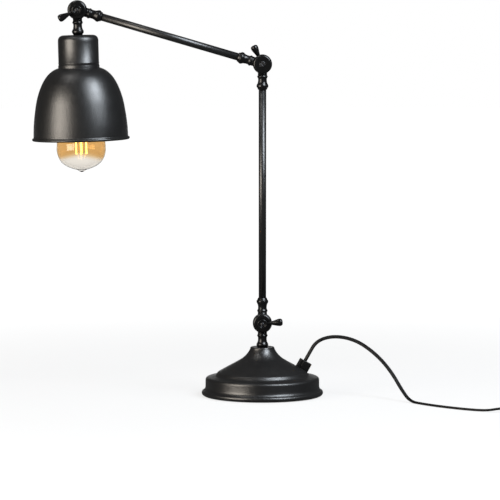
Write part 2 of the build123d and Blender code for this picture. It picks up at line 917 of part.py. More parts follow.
def switch_cover():
    bottom = switch_h / 2 + 0.05
    shell = switch_shell(bottom, switch_h, switch_h)
    room = rocker_w + key_gap * 2
    window = Pos(0, 0, switch_h) * Box(rocker_len + key_gap * 2, room, switch_wall * 3)
    walls = Pos(0, 0, switch_h - 4.5) * Box(rocker_len + 6.0, room + 4.0, 6.0)
    well = walls - Pos(0, 0, switch_h - 4.5) * Box(rocker_len + 2.0, room, 8.0)
    pin_bore = Rot(90, 0, 0) * Cylinder(rocker_pin_r + fit_gap, room + rocker_pin_len * 2 + 0.4)
    return switch_place() * (shell + well - window - Pos(0, 0, rocker_z()) * pin_bore)


def rocker_z():
    """Height of the rocker's pins."""
    return switch_h - 4.0


def rocker_key():
    """Rocker with a dished face, pressed down at one end, on two pins."""
    half = rocker_len / 2 - 0.8
    top = switch_h + rocker_proud - rocker_z()
    dish = [(-half, top - 0.6), (-half * 0.45, top - 1.9), (half * 0.45, top - 1.9), (half, top - 0.6)]
    face = Plane.XZ * make_face(Polyline(*dish, (half - 0.6, -1.6), (-half + 0.6, -1.6), close=True))
    key = extrude(face, rocker_w / 2, both=True)
    pins = Rot(90, 0, 0) * Cylinder(rocker_pin_r, rocker_w + rocker_pin_len * 2 + key_gap * 2)
    return switch_place() * Pos(0, 0, rocker_z()) * Rot(0, -rocker_throw / 2, 0) * (key + pins)


def plug_place():
    """Frame of the plug: origin where the cord enters, Y towards the pins."""
    return Pos(coil_points()[-1].X, plug_y, plug_t / 2)


def plug_body():
    """Moulded flat plug: a waisted grip that swells to the flat oval face that the pins stand on."""
    face_w, waist_w = plug_w / 2, plug_grip_w / 2
    end, shoulder = plug_tail_len + plug_len, plug_tail_len + 14.0
    right = [
        (3.4, 0),
        (4.8, 6.0),
        (waist_w - 2.0, plug_tail_len),
        (waist_w, plug_tail_len + 8.0),
        (waist_w + 1.5, plug_tail_len + 15.0),
        (face_w - 1.2, end - 11.0),
        (face_w, end - 6.0),
        (face_w, end),
    ]
    plan = make_face(Polyline(*right, *[(-x, y) for x, y in reversed(right)], close=True))
    upper = [(0, 3.2), (plug_tail_len, 4.6), (plug_tail_len + 8.0, plug_t / 2 - 0.4), (shoulder, plug_t / 2)]
    upper.append((end, plug_t / 2))
    profile = make_face(Polyline(*upper, *[(y, -z) for y, z in reversed(upper)], close=True))
    body = extrude(plan, plug_t, both=True) & extrude(Plane.YZ * profile, plug_w, both=True)
    body = chamfer(body.edges().filter_by(Axis.Y), plug_edge)
    bore = crosswise(rod(pin_r + fit_gap, 0, 10.0), 1)
    return plug_place() * (body - [Pos(x, end - 9.0, 0) * bore for x in (-pin_pitch / 2, pin_pitch / 2)])


def plug_pins():
    """Two round pins with their insulating sleeves and rounded ends."""
    start = plug_tail_len + plug_len - 8.5
    reach = 8.5 + pin_len
    pin = turned((0, 0), (pin_r, 0), (pin_r, reach - 1.4), (pin_r - 1.2, reach), (0, reach))
    pins = [Pos(x, start, 0) * crosswise(pin, 1) for x in (-pin_pitch / 2, pin_pitch / 2)]
    return plug_place() * Compound(pins)


def base_parts():
    return {
        "base_cover": base_cover(),
        "felt_pad": felt_pad(),
        "base_weight": base_weight(),
        "base_nipple": base_nipple(),
        "base_nut": hex_nut(),
        "cord_grip_body": grip_place() * grip_body(),
        "cord_grip_wedge": grip_place() * grip_wedge(),
        "inner_lead": inner_lead(),
    }


def swivel_parts(name, at, stud_side, lever_angle, holding, turning):
    """One clamp swivel. A half is its name, the direction of its collar and the collar's sizes."""
    parts = {}
    for (half, turn, sizes), side in ((holding, stud_side), (turning, -stud_side)):
        parts[f"{name}_swivel_{half}"] = at * turn * swivel_half(side, *sizes, holds_stud=side == stud_side)
    parts[f"{name}_stud"] = at * stud(stud_side)
    parts[f"{name}_lever"] = at * lever(-stud_side, lever_angle)
    return parts


def frame_parts():
    """The three swivels and the two tubes between them."""
    tube = (tube_collar_len, tube_collar_end_r, tube_r, tube_seat)
    foot = (foot_collar_len, foot_collar_end_r, nipple_r, foot_collar_len - nipple_depth)
    cup = (head_collar_len, head_collar_end_r, nipple_r, head_collar_len - nipple_depth)
    front, rear = -1, 1
    up, down, out = Rot(0, 0, 0), Rot(0, 180, 0), along_arm()
    lower = ("foot", down, foot), ("stem", up, tube)
    elbow = ("stem", down, tube), ("arm", out, tube)
    head = ("arm", out * down, tube), ("cup", down_head(), cup)
    return {
        **swivel_parts("lower", at_swivel(), rear, lower_lever_angle, *lower),
        "stem_tube": at_swivel() * lamp_tube(stem_span),
        "stem_wire": at_swivel() * lamp_wire(stem_span),
        **swivel_parts("elbow", at_elbow(), front, elbow_lever_angle, *elbow),
        "arm_tube": at_elbow() * out * lamp_tube(arm_span),
        "arm_wire": at_elbow() * out * lamp_wire(arm_span),
        **swivel_parts("head", at_head(), rear, head_lever_angle, *head),
    }


def head_parts():
    """Everything that hangs from the head's collar."""
    place = at_head() * down_head()
    parts = {
        "head_nipple": ring(nipple_r, nipple_bore_r, head_collar_len - nipple_depth, holder_top + 9.5),
        "head_wire": prism(wire_r, wire_stop, holder_top + 14.0),
        "shade_cup": shade_cup(),
        "shade_bell": shade_bell(),
        "shade_ring": shade_ring(),
        "holder_cap": holder_cap(),
        "holder_body": holder_body(),
        "centre_contact": centre_contact(),
        "bulb_cap": bulb_cap(),
        "bulb_insulator": bulb_insulator(),
        "bulb_tip": bulb_tip(),
        "bulb_glass": bulb_glass(),
        "bulb_mount": bulb_mount(),
        "bulb_filaments": bulb_filaments(),
        "bulb_supports": bulb_supports(),
    }
    return {name: place * part for name, part in parts.items()}


def cord_parts():
    return {
        "cord": swept_cord("cord", lead_route()),
        "switch_base": switch_base(),
        "switch_cover": switch_cover(),
        "rocker": rocker_key(),
        "cord_tail": swept_cord("cord_tail", tail_route()),
        "cord_coil": cord_coil(),
        "coil_tie": coil_tie(),
        "cord_end": swept_cord("cord_end", end_route()),
        "plug_body": plug_body(),
        "plug_pins": plug_pins(),
    }


os.makedirs("parts", exist_ok=True)
lamp = {**base_parts(), **frame_parts(), **head_parts(), **cord_parts()}
for name, part in lamp.items():
    export_step(part, f"parts/{name}.step")
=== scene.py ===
import math

import bpy
import numpy as np
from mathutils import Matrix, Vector


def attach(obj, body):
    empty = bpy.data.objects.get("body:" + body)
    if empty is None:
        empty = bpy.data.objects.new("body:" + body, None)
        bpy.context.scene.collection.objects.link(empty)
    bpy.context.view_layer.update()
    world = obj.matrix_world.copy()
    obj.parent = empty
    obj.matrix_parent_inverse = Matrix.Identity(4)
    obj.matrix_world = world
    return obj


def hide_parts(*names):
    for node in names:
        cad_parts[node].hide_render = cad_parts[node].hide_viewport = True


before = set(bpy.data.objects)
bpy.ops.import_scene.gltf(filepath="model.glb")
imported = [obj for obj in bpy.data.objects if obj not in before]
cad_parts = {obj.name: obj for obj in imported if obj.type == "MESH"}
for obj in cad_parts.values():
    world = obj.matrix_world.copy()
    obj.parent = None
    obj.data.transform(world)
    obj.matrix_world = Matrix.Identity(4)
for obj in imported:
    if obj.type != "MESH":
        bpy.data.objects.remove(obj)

bl_info = {
    "name": "Swing-arm desk lamp",
    "version": (1, 0, 0),
    "blender": (4, 5, 0),
    "location": "3D View > Sidebar > Lamp",
    "description": "Turned pieces, glass, cords and finishes of a black desk lamp with three clamp swivels",
    "category": "Object",
}

MM = 0.001

# Places and sizes that the CAD model settles, in millimetres and degrees. A turned piece's heights count from its
# hinge along its own axis.
SWIVEL_Z, STEM_SPAN, ARM_SPAN = 95.9, 340.5, 252.0
ELBOW_Z = SWIVEL_Z + STEM_SPAN
ARM_RISE, HEAD_TILT = 16.3, 1.4
HEAD = (-ARM_SPAN * math.cos(math.radians(ARM_RISE)), 0.0, ELBOW_Z + ARM_SPAN * math.sin(math.radians(ARM_RISE)))
LOWER, ELBOW = (0.0, 0.0, SWIVEL_Z), (0.0, 0.0, ELBOW_Z)
UP, DOWN, OUT, BACK, HANG = 0.0, 180.0, ARM_RISE - 90.0, ARM_RISE + 90.0, 180.0 - HEAD_TILT
FRONT, REAR = -1, 1
# Swivels: the halves' rim, the gap beyond it and their roots; collars as length and end radius
SWIVEL_R, RIM_CLEAR, ROOT_R = 12.6, 0.4, 6.08
HALF_GAP, HALF_OUT = 0.15, 7.75
FOOT_COLLAR, TUBE_COLLAR, CUP_COLLAR = (31.4, 6.9), (33.4, 6.0), (32.9, 6.1)
# Studs and levers
STUD_R, STUD_BORE, STUD_HEAD_R, STUD_RECESS_R, STUD_RECESS, STUD_IN = 2.5, 2.55, 4.0, 4.15, 1.2, -16.65
STUD_OUT, SLOT_HALF, SLOT_DEPTH = HALF_OUT + 0.4, 0.5, 0.9
HUB_IN, HUB_OUT, HUB_R = 8.05, 17.25, 6.45
LEVER_OFF, LEVER_ROOT, LEVER_LEN = 5.4, 3.0, 26.7
# Tubes, base and shade
TUBE_R, TUBE_BORE, TUBE_SEAT = 4.95, 3.5, 25.4
DRUM_R, DRUM_BORE, NIPPLE_HOLE = 75.0, 73.0, 5.2
CUP_R, CUP_BORE, CUP_BEAD_R, CUP_TOP, CUP_END, CUP_WALL = 26.5, 25.3, 26.85, 32.9, 72.0, 1.2
BELL_WALL, WEB_LOW, WEB_HIGH = 1.0, 76.8, 78.0
RING_R, RING_HIGH, RING_KNURLS, KNURL_DEPTH = 24.3, 8.0, 48, 0.35
# Lampholder and bulb
HOLDER_R, HOLDER_BORE, HOLDER_SEAM, HOLDER_END = 19.7, 17.1, 64.0, 97.0
SKIRT_THREAD, SKIRT_PITCH = 0.5, 2.0
CAP_R, CAP_BORE, CAP_START, CAP_END, CAP_PITCH = 13.2, 12.45, 77.0, 97.9, 3.62
GLASS_NECK_R, GLASS_WALL, GLASS_TIP = 12.75, 0.8, 212.2
RODS, ROD_R, ROD_RING, ROD_LOW, ROD_HIGH = 4, 0.95, 6.7, 147.5, 188.5
# Cord grip on the cone, the half sizes, edge and centre of its two pieces, and the cord's first points above it
GRIP_TURN, GRIP_R, GRIP_Z, CONE_SLOPE = 8.0, 51.5, 35.16, 29.17
GRIP_SLAB = (1.8, 6.2, 6.1), 0.7, (-4.9, 0, 5.3)
GRIP_BLOCK = (6.1, 6.2, 5.9), 0.9, (3.2, 0, 5.4)
CORD_OUT = (9.8, 22.8)

# Control points of the cord's line, in metres
LEAD_POINTS = [
    (0.0705, 0.0094, 0.0695), (0.0860, 0.0080, 0.0766), (0.1050, 0.0035, 0.0774), (0.1250, -0.0040, 0.0723),
    (0.1425, -0.0140, 0.0615), (0.1575, -0.0260, 0.0485), (0.1705, -0.0400, 0.0325), (0.1805, -0.0550, 0.0155),
    (0.1910, -0.0720, 0.0016), (0.2060, -0.0940, 0.0015), (0.2250, -0.1160, 0.0015), (0.2470, -0.1360, 0.0015),
    (0.2690, -0.1520, 0.0015), (0.2860, -0.1605, 0.0020),
]
# On its arch the cord stands tilted by so many degrees; it lies flat from x on, after a run
ARCH_TILT, TILT_END, TILT_RUN = 60.0, 0.20, 0.06
# Switch, coil, plug and tie: places in metres, turns in degrees, outlines in millimetres
SWITCH_AT, SWITCH_TURN, SWITCH_CORD_Z, SWITCH_END = (0.341, -0.152), 15.0, 0.005, 0.025
SWITCH_HALF, WINDOW_HALF, SWITCH_SEAM, SWITCH_TOP = (29.0, 12.0), (9.0, 6.0), 9.0, 18.0
TAIL_POINTS = [(0.3950, -0.1315, 0.0020), (0.4010, -0.1160, 0.0015)]
COIL_AT, COIL_R, COIL_STEP = (0.3665, -0.074), 0.0376, 0.0026
COIL_LOW, COIL_LAYER = 0.0015, 0.0031
IN_TURNS, OUT_TURNS = 7, 6
PLUG_AT = (0.4028, -0.016, 0.00685)
RIBS, RIB_PITCH, RIB_DEPTH = 4, 2.85, 0.45
TIE_TOP, TIE_THICK, TIE_HALF, TIE_ROUND, TIE_SLACK = 6.9, 0.65, 3.9, 1.6, 0.7


def turned_to(angle):
    """Rows are the x, y and z axes of a frame whose z leans from up towards +X by the angle, about Y."""
    a = math.radians(angle)
    return np.array([(math.cos(a), 0, -math.sin(a)), (0, 1, 0), (math.sin(a), 0, math.cos(a))])


def crosswise(side):
    """Axes of a frame whose z points along Y, to the side -1 or +1."""
    return np.array([(1, 0, 0), (0, 0, -side), (0, side, 0)], float)


def placed(grid, at=(0, 0, 0), axes=None):
    """Points moved into the lamp's frame: each is the origin plus its x, y and z times the three axes."""
    return np.asarray(at, float) + (grid if axes is None else grid @ axes)


def skin(name, *grids, body=None, node=None, slot=None, material=None):
    """A mesh over one or more grids of points in millimetres. Four neighbours make a face, columns run round
    and close, points in one place are made one, so poles and seams are closed, and each grid faces outwards:
    its faces are turned where the volume that they enclose comes out negative. A slot brings its finish."""
    spots, faces, start = [], [], 0
    for grid in grids:
        rows, cols = grid.shape[:2]
        u, v = np.meshgrid(np.arange(rows - 1), np.arange(cols), indexing="ij")
        w = (v + 1) % cols
        quads = np.stack([u * cols + v, (u + 1) * cols + v, (u + 1) * cols + w, u * cols + w], -1).reshape(-1, 4)
        points, where = np.unique(np.round(grid.reshape(-1, 3), 5), axis=0, return_inverse=True)
        quads = where.reshape(-1)[quads]
        a, b, c, d = (points[quads[:, k]] for k in range(4))
        volume = (np.cross(b - a, c - a) * a).sum() + (np.cross(c - a, d - a) * a).sum()
        if volume < 0:
            quads = quads[:, ::-1]
        same = quads == np.roll(quads, -1, 1)
        count = same.sum(1)
        whole, cut = quads[count == 0], quads[count == 1]
        faces += (whole + start).tolist() + (cut[~same[count == 1]].reshape(-1, 3) + start).tolist()
        spots.append(points)
        start += len(points)
    mesh = bpy.data.meshes.new(name)
    mesh.from_pydata(np.concatenate(spots) * MM, [], faces)
    mesh.polygons.foreach_set("use_smooth", np.ones(len(mesh.polygons), bool))
    mesh.update()
    piece = bpy.data.objects.new(name, mesh)
    bpy.context.scene.collection.objects.link(piece)
    if material or slot:
        mesh.materials.append(material or finish(slot))
    if body:
        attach(piece, body)
    if node:
        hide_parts(*([node] if isinstance(node, str) else node))
    return piece


def eased(corners, radii, steps=5, closed=False):
    """An outline with its corners rounded: at each, an arc that starts and ends the radius times the tangent of
    half the turn away, drawn as a quadratic curve through the two tangent points with the corner as its handle."""
    p = np.asarray(corners, float)
    r = np.broadcast_to(np.asarray(radii, float), len(p))
    t = np.linspace(0, 1, steps)[:, None]
    out = []
    for k in range(len(p)):
        if r[k] <= 0 or (not closed and k in (0, len(p) - 1)):
            out.append(p[k:k + 1])
            continue
        back, on = p[k - 1] - p[k], p[(k + 1) % len(p)] - p[k]
        reach = min(r[k], np.linalg.norm(back) * 0.49, np.linalg.norm(on) * 0.49)
        a, b = p[k] + back / np.linalg.norm(back) * reach, p[k] + on / np.linalg.norm(on) * reach
        out.append((1 - t) ** 2 * a + 2 * t * (1 - t) * p[k] + t ** 2 * b)
    return np.concatenate(out)


def flowing(points, count=60):
    """A smooth line through the points: cubic Hermite spans by chord length, each tangent the mean of the
    slopes on its two sides, weighted by the other side's length."""
    p = np.asarray(points, float)
    s = np.concatenate([[0], np.cumsum(np.linalg.norm(np.diff(p, axis=0), axis=1))])
    slope = np.diff(p, axis=0) / np.diff(s)[:, None]
    h = np.diff(s)
    inner = (slope[:-1] * h[1:, None] + slope[1:] * h[:-1, None]) / (h[:-1] + h[1:])[:, None]
    tangent = np.concatenate([[1.5 * slope[0] - 0.5 * inner[0]], inner, [1.5 * slope[-1] - 0.5 * inner[-1]]])
    at = np.linspace(0, s[-1], count)
    k = np.clip(np.searchsorted(s, at, side="right") - 1, 0, len(h) - 1)
    t, w = ((at - s[k]) / h[k])[:, None], h[k][:, None]
    return ((2 * t ** 3 - 3 * t ** 2 + 1) * p[k] + (t ** 3 - 2 * t ** 2 + t) * w * tangent[k]
            + (3 * t ** 2 - 2 * t ** 3) * p[k + 1] + (t ** 3 - t ** 2) * w * tangent[k + 1])


def inset(line, distance):
    """The line moved to its left by the distance, square to its own direction at each point."""
    way = np.gradient(line, axis=0)
    way /= np.linalg.norm(way, axis=1)[:, None]
    return line + distance * np.stack([-way[:, 1], way[:, 0]], 1)


def arc(centre, radius, start, end, steps=10):
    """Points on a circle in the outline's plane, from one angle in degrees to another."""
    a = np.radians(np.linspace(start, end, steps))
    return np.stack([centre[0] + radius * np.cos(a), centre[1] + radius * np.sin(a)], 1)


def lathe(outline, at=(0, 0, 0), axes=None, around=96, closed=False, wave=None):
    """An outline of radius and height turned about the frame's z: x is the radius times the cosine of the turn
    and y times its sine. A closed outline ends where it starts. A wave of turn and height is added to the radius."""
    line = np.asarray(outline, float)
    line = np.concatenate([line, line[:1]]) if closed else line
    turn = np.linspace(0, 2 * np.pi, around, endpoint=False)
    r, t = np.meshgrid(line[:, 0], turn, indexing="ij")
    z = np.repeat(line[:, 1:2], around, axis=1)
    if wave:
        r = r + np.where(r > 0, wave(t, z), 0)
    return placed(np.stack([r * np.cos(t), r * np.sin(t), z], -1), at, axes)


def segment(rows, at=(0, 0, 0), axes=None, steps=24):
    """A solid with a part-round section: a row is a radius, a flat's distance from the centre and a height.
    The edge runs round the arc beyond the flat, then back along the flat; both ends close at their middle."""
    r, f, z = (np.asarray(rows, float)[:, k:k + 1] for k in range(3))
    half = np.arccos(np.clip(f / r, -1, 1))
    sweep = half * np.linspace(-1, 1, steps)
    chord = np.linspace(1, -1, steps // 3)[1:-1] * np.sqrt(np.maximum(r ** 2 - f ** 2, 0))
    x = np.concatenate([r * np.cos(sweep), np.repeat(f, chord.shape[1], axis=1)], 1)
    y = np.concatenate([r * np.sin(sweep), chord], 1)
    grid = np.stack([x, y, np.broadcast_to(z, x.shape)], -1)
    return placed(capped(grid), at, axes)


def block(half, edge, centre, at, axes, steps=5):
    """A box with round edges: each point of a ball of the edge's radius is moved out by the core's half sizes,
    with the sign of its eighth of the ball."""
    quarter = np.linspace(0, np.pi / 2, steps)
    low = np.concatenate([quarter - np.pi / 2, quarter])
    sign_z = np.repeat([-1, 1], steps)
    turn = np.concatenate([quarter + k * np.pi / 2 for k in range(4)])
    sign_x, sign_y = np.repeat([1, -1, -1, 1], steps), np.repeat([1, 1, -1, -1], steps)
    core = np.asarray(half, float) - edge
    x = sign_x * core[0] + edge * np.cos(low)[:, None] * np.cos(turn)
    y = sign_y * core[1] + edge * np.cos(low)[:, None] * np.sin(turn)
    z = (sign_z * core[2] + edge * np.sin(low))[:, None] + 0 * x
    return placed(capped(np.stack([x, y, z], -1)) + np.asarray(centre, float), at, axes)


def swept(path, outline, tilt=0.0):
    """An outline of width and height carried along a path: at each point its width lies level and square to the
    path, and its height square to both. A tilt turns both about the path: the width becomes its cosine times
    the width plus its sine times the height. Both ends close at their middle."""
    p = np.asarray(path, float)
    way = np.gradient(p, axis=0)
    way /= np.linalg.norm(way, axis=1)[:, None]
    wide = np.cross((0.0, 0.0, 1.0), way)
    wide /= np.linalg.norm(wide, axis=1)[:, None]
    tall = np.cross(way, wide)
    lean = np.broadcast_to(tilt, len(p))[:, None]
    wide, tall = wide * np.cos(lean) + tall * np.sin(lean), tall * np.cos(lean) - wide * np.sin(lean)
    line = np.asarray(outline, float)[None]
    grid = p[:, None] + line[..., :1] * wide[:, None] + line[..., 1:] * tall[:, None]
    return np.concatenate([np.broadcast_to(p[0], grid[:1].shape), grid, np.broadcast_to(p[-1], grid[:1].shape)])


def feed(tree, node, **inputs):
    """Links or sets sockets of a node: _0 is its first socket, other names are as the sockets' own."""
    for name, value in inputs.items():
        socket = node.inputs[int(name[1:])] if name[1:].isdigit() else node.inputs[name.replace("_", " ")]
        if isinstance(value, bpy.types.NodeSocket):
            tree.links.new(value, socket)
        else:
            socket.default_value = value
    return node


def put(tree, kind, settings=None, **inputs):
    """A shader node with its settings, and its sockets linked or given a value."""
    node = tree.nodes.new(kind)
    for name, value in (settings or {}).items():
        setattr(node, name, value)
    return feed(tree, node, **inputs)


def effect(name, inputs, outputs, wire):
    """A shader node group, built once, with named inputs and their defaults and named outputs."""
    if name in bpy.data.node_groups:
        return bpy.data.node_groups[name]
    tree = bpy.data.node_groups.new(name, "ShaderNodeTree")
    for label, value in inputs.items():
        kind = "NodeSocketColor" if isinstance(value, tuple) else "NodeSocketFloat"
        tree.interface.new_socket(label, in_out="INPUT", socket_type=kind).default_value = value
    for label, kind in outputs.items():
        tree.interface.new_socket(label, in_out="OUTPUT", socket_type=kind)
    given, result = tree.nodes.new("NodeGroupInput"), tree.nodes.new("NodeGroupOutput")
    for label, socket in wire(tree, given.outputs).items():
        tree.links.new(socket, result.inputs[label])
    return tree


def math_node(tree, operation, a, b=0.0, clamp=False):
    """One arithmetic node."""
    return put(tree, "ShaderNodeMath", {"operation": operation, "use_clamp": clamp}, _0=a, _1=b).outputs[0]


def times(tree, a, b):
    """The product of two values."""
    return math_node(tree, "MULTIPLY", a, b)


def own_place(tree):
    """The place of a shaded point on its own object."""
    return put(tree, "ShaderNodeTexCoord").outputs["Object"]


def blended(tree, factor, a, b):
    """Colour a to colour b by a factor."""
    return put(tree, "ShaderNodeMix", {"data_type": "RGBA"}, _0=factor, _6=a, _7=b).outputs[2]


def ranged(tree, value, low, high, out_low=0.0, out_high=1.0):
    """A value's range mapped to another, smoothly and clamped."""
    settings = {"interpolation_type": "SMOOTHSTEP"}
    return put(tree, "ShaderNodeMapRange", settings, Value=value, From_Min=low, From_Max=high, To_Min=out_low,
               To_Max=out_high).outputs[0]


def speckle_effect():
    """Fine pebbled paint: a height, and a mask that is high on the raised grains, where coats paint a highlight."""
    def wire(tree, given):
        spot = own_place(tree)
        grains = put(tree, "ShaderNodeTexVoronoi", {"feature": "SMOOTH_F1"}, Vector=spot, Scale=given["Scale"],
                     Smoothness=0.6)
        cloud = put(tree, "ShaderNodeTexNoise", Vector=spot, Scale=times(tree, given["Scale"], 0.45), Detail=3.0)
        height = math_node(tree, "SUBTRACT", times(tree, cloud.outputs[0], 1.2), grains.outputs[0])
        return {"Height": height, "Mask": ranged(tree, height, 0.05, 0.55)}
    return effect("speckle", {"Scale": 900.0}, {"Height": "NodeSocketFloat", "Mask": "NodeSocketFloat"}, wire)


def drift_effect():
    """Slow uneven clouds over a piece, for colour and gloss that vary a little."""
    def wire(tree, given):
        cloud = put(tree, "ShaderNodeTexNoise", Vector=own_place(tree), Scale=given["Scale"], Detail=4.0,
                    Roughness=0.6)
        return {"Mask": ranged(tree, cloud.outputs[0], 0.35, 0.65)}
    return effect("drift", {"Scale": 18.0}, {"Mask": "NodeSocketFloat"}, wire)


def dust_effect():
    """Thin dust on faces that look up, broken up by a fine cloud."""
    def wire(tree, given):
        face = put(tree, "ShaderNodeNewGeometry").outputs["Normal"]
        high = put(tree, "ShaderNodeSeparateXYZ", Vector=face).outputs[2]
        cloud = put(tree, "ShaderNodeTexNoise", Vector=own_place(tree), Scale=260.0, Detail=5.0).outputs[0]
        lying = times(tree, ranged(tree, high, 0.45, 1.0), ranged(tree, cloud, 0.4, 0.7))
        amount = times(tree, lying, given["Amount"])
        return {"Color": blended(tree, amount, given["Color"], (0.30, 0.28, 0.26, 1)), "Mask": amount}
    sockets = {"Color": "NodeSocketColor", "Mask": "NodeSocketFloat"}
    return effect("dust", {"Color": (0.02, 0.02, 0.02, 1.0), "Amount": 0.02}, sockets, wire)


def group_node(tree, group, **inputs):
    """An effect placed in a material: its output sockets."""
    return put(tree, "ShaderNodeGroup", {"node_tree": group}, **inputs).outputs


def emptied(owner):
    """The node tree of a material or a world, with every node taken out."""
    owner.use_nodes = True
    owner.node_tree.nodes.clear()
    return owner.node_tree


def new_finish(name):
    """A material with only its surface shader and output: the material, its tree and the shader."""
    material = bpy.data.materials.new(name)
    tree = emptied(material)
    shader = tree.nodes.new("ShaderNodeBsdfPrincipled")
    tree.links.new(shader.outputs[0], tree.nodes.new("ShaderNodeOutputMaterial").inputs[0])
    return material, tree, shader


def coat(name, colour, other, rough, grain=900.0, depth=0.00004, dust=0.015, metallic=0.0, level=0.5, drift=18.0):
    """A paint or plastic: two near colours in slow clouds, pebbled relief, a painted highlight that lightens the
    raised grains, uneven gloss and a little dust. The gloss is the roughness plus 0.08 in the clouds, 0.048 on raised
    grains and 0.6 where dust lies."""
    material, tree, shader = new_finish(name)
    slow = group_node(tree, drift_effect(), Scale=drift)["Mask"]
    fine = group_node(tree, speckle_effect(), Scale=grain)
    base = blended(tree, slow, (*colour, 1), (*other, 1))
    # Painted highlight: the raised grains are lightened towards 1.6 times the second colour, as if they caught the
    # light.
    lit = blended(tree, times(tree, fine["Mask"], 0.5), base, (*(min(1, c * 1.6) for c in other), 1))
    dusty = group_node(tree, dust_effect(), Color=lit, Amount=dust)
    gloss = math_node(tree, "ADD", times(tree, slow, 0.08), rough)
    gloss = math_node(tree, "ADD", gloss, times(tree, fine["Mask"], 0.048))
    gloss = math_node(tree, "ADD", gloss, times(tree, dusty["Mask"], 0.6), clamp=True)
    relief = put(tree, "ShaderNodeBump", Strength=1.0, Distance=depth, Height=fine["Height"]).outputs[0]
    feed(tree, shader, Base_Color=dusty["Color"], Roughness=gloss, Normal=relief, Metallic=metallic,
         Specular_IOR_Level=level)
    return material


def turned_metal(name, colour, other, rough):
    """Machined or plated metal: fine lines drawn out by noise that is stretched, and slow stains."""
    material, tree, shader = new_finish(name)
    lines = put(tree, "ShaderNodeMapping", Vector=own_place(tree), Scale=(1.0, 1.0, 14.0)).outputs[0]
    fine = put(tree, "ShaderNodeTexNoise", Vector=lines, Scale=400.0, Detail=3.0).outputs[0]
    slow = group_node(tree, drift_effect(), Scale=60.0)["Mask"]
    gloss = math_node(tree, "ADD", times(tree, fine, 0.2), rough - 0.08)
    gloss = math_node(tree, "ADD", gloss, times(tree, slow, 0.08), clamp=True)
    relief = put(tree, "ShaderNodeBump", Strength=1.0, Distance=0.00002, Height=fine).outputs[0]
    feed(tree, shader, Base_Color=blended(tree, slow, (*colour, 1), (*other, 1)), Roughness=gloss, Normal=relief,
         Metallic=1.0)
    return material


def clear_glass(name):
    """Plain glass with a faint cloud in its gloss."""
    material, tree, shader = new_finish(name)
    slow = group_node(tree, drift_effect(), Scale=90.0)["Mask"]
    feed(tree, shader, Base_Color=blended(tree, slow, (0.96, 0.96, 0.95, 1), (0.92, 0.92, 0.90, 1)),
         Roughness=times(tree, slow, 0.04), Transmission_Weight=1.0, IOR=1.48)
    return material


def amber_glass(name):
    """Glass with an amber film near the cap, painted pale cream towards the tip: a painted reflection of the pale
    floor and backdrop. The border arches: it is where the height plus 0.22 of the distance to the side of the glass's
    middle comes to the painted reflection's edge."""
    looks = bpy.context.scene.lamp_finish
    material, tree, shader = new_finish(name)
    x, _, z = put(tree, "ShaderNodeSeparateXYZ", Vector=own_place(tree)).outputs
    off = math_node(tree, "ABSOLUTE", math_node(tree, "SUBTRACT", x, (HEAD[0] + 3.0) * MM))
    border = math_node(tree, "ADD", z, times(tree, off, 0.22))
    # Painted reflection: below the edge the glass is pale cream instead of amber; amber is 1 above it, where the film
    # shows.
    amber = ranged(tree, border, looks.painted_reflection_edge - 0.004, looks.painted_reflection_edge + 0.005)
    slow = group_node(tree, drift_effect(), Scale=30.0)["Mask"]
    warm = blended(tree, slow, (*looks.film, 1), (*(c * 0.97 for c in looks.film), 1))
    feed(tree, shader, Base_Color=blended(tree, amber, (*looks.tip_painted_reflection, 1), warm),
         Roughness=math_node(tree, "ADD", times(tree, slow, 0.03), 0.02), Transmission_Weight=1.0, IOR=1.45)
    return material


def glowing(name):
    """Glowing phosphor on the filament rods, paler in the middle of each grain."""
    looks = bpy.context.scene.lamp_finish
    material, tree, shader = new_finish(name)
    fine = group_node(tree, speckle_effect(), Scale=1500.0)["Mask"]
    hot = blended(tree, fine, (*looks.glow, 1), (1.0, 0.80, 0.42, 1))
    feed(tree, shader, Base_Color=hot, Emission_Color=hot, Emission_Strength=looks.glow_strength, Roughness=0.6)
    return material


# Two colours and the roughness of each coat, and what differs from the usual one; two colours and the roughness
# of each metal
MOULDED = (0.011, 0.011, 0.011), (0.017, 0.017, 0.016)
NEAR_BLACK = (0.004, 0.004, 0.004), (0.006, 0.006, 0.006)
COATS = {
    "felt": ((0.015, 0.017, 0.016), (0.03, 0.032, 0.03), 0.95, dict(grain=2600.0, depth=0.0002, level=0.1)),
    "weight_iron": ((0.05, 0.045, 0.04), (0.09, 0.06, 0.045), 0.6, dict(grain=350.0, depth=0.00025, metallic=0.6)),
    "grip_plastic": (*NEAR_BLACK, 0.34, dict(grain=1500.0, depth=0.00002, level=0.3)),
    "cord_sheath": (*NEAR_BLACK, 0.40, dict(grain=1300.0, depth=0.00002, level=0.22, drift=40.0)),
    "wire_sheath": ((0.10, 0.03, 0.015), (0.03, 0.06, 0.16), 0.5, dict(drift=300.0)),
    "switch_plastic": (*MOULDED, 0.36, dict(grain=1700.0, depth=0.00004)),
    "plug_pvc": (*MOULDED, 0.48, dict(grain=1700.0, depth=0.00004)),
    "tie_plastic": (*MOULDED, 0.3, dict(grain=1700.0, depth=0.00004)),
    "holder_plastic": ((0.012, 0.011, 0.010), (0.02, 0.018, 0.016), 0.28, dict(grain=900.0, depth=0.00001)),
    "vitrite": ((0.012, 0.008, 0.016), (0.02, 0.012, 0.024), 0.12, dict(grain=300.0, depth=0.00001)),
}
METALS = {
    "brass": ((0.78, 0.57, 0.24), (0.62, 0.42, 0.17), 0.32),
    "nickel_plate": ((0.72, 0.69, 0.64), (0.60, 0.57, 0.52), 0.24),
    "support_wire": ((0.45, 0.42, 0.38), (0.35, 0.32, 0.28), 0.4),
    **dict.fromkeys(("stud_steel", "plate_steel"), ((0.10, 0.10, 0.105), (0.06, 0.06, 0.062), 0.38)),
}
GLASS_AND_GLOW = {"amber_glass": amber_glass, "clear_glass": clear_glass, "filament": glowing}


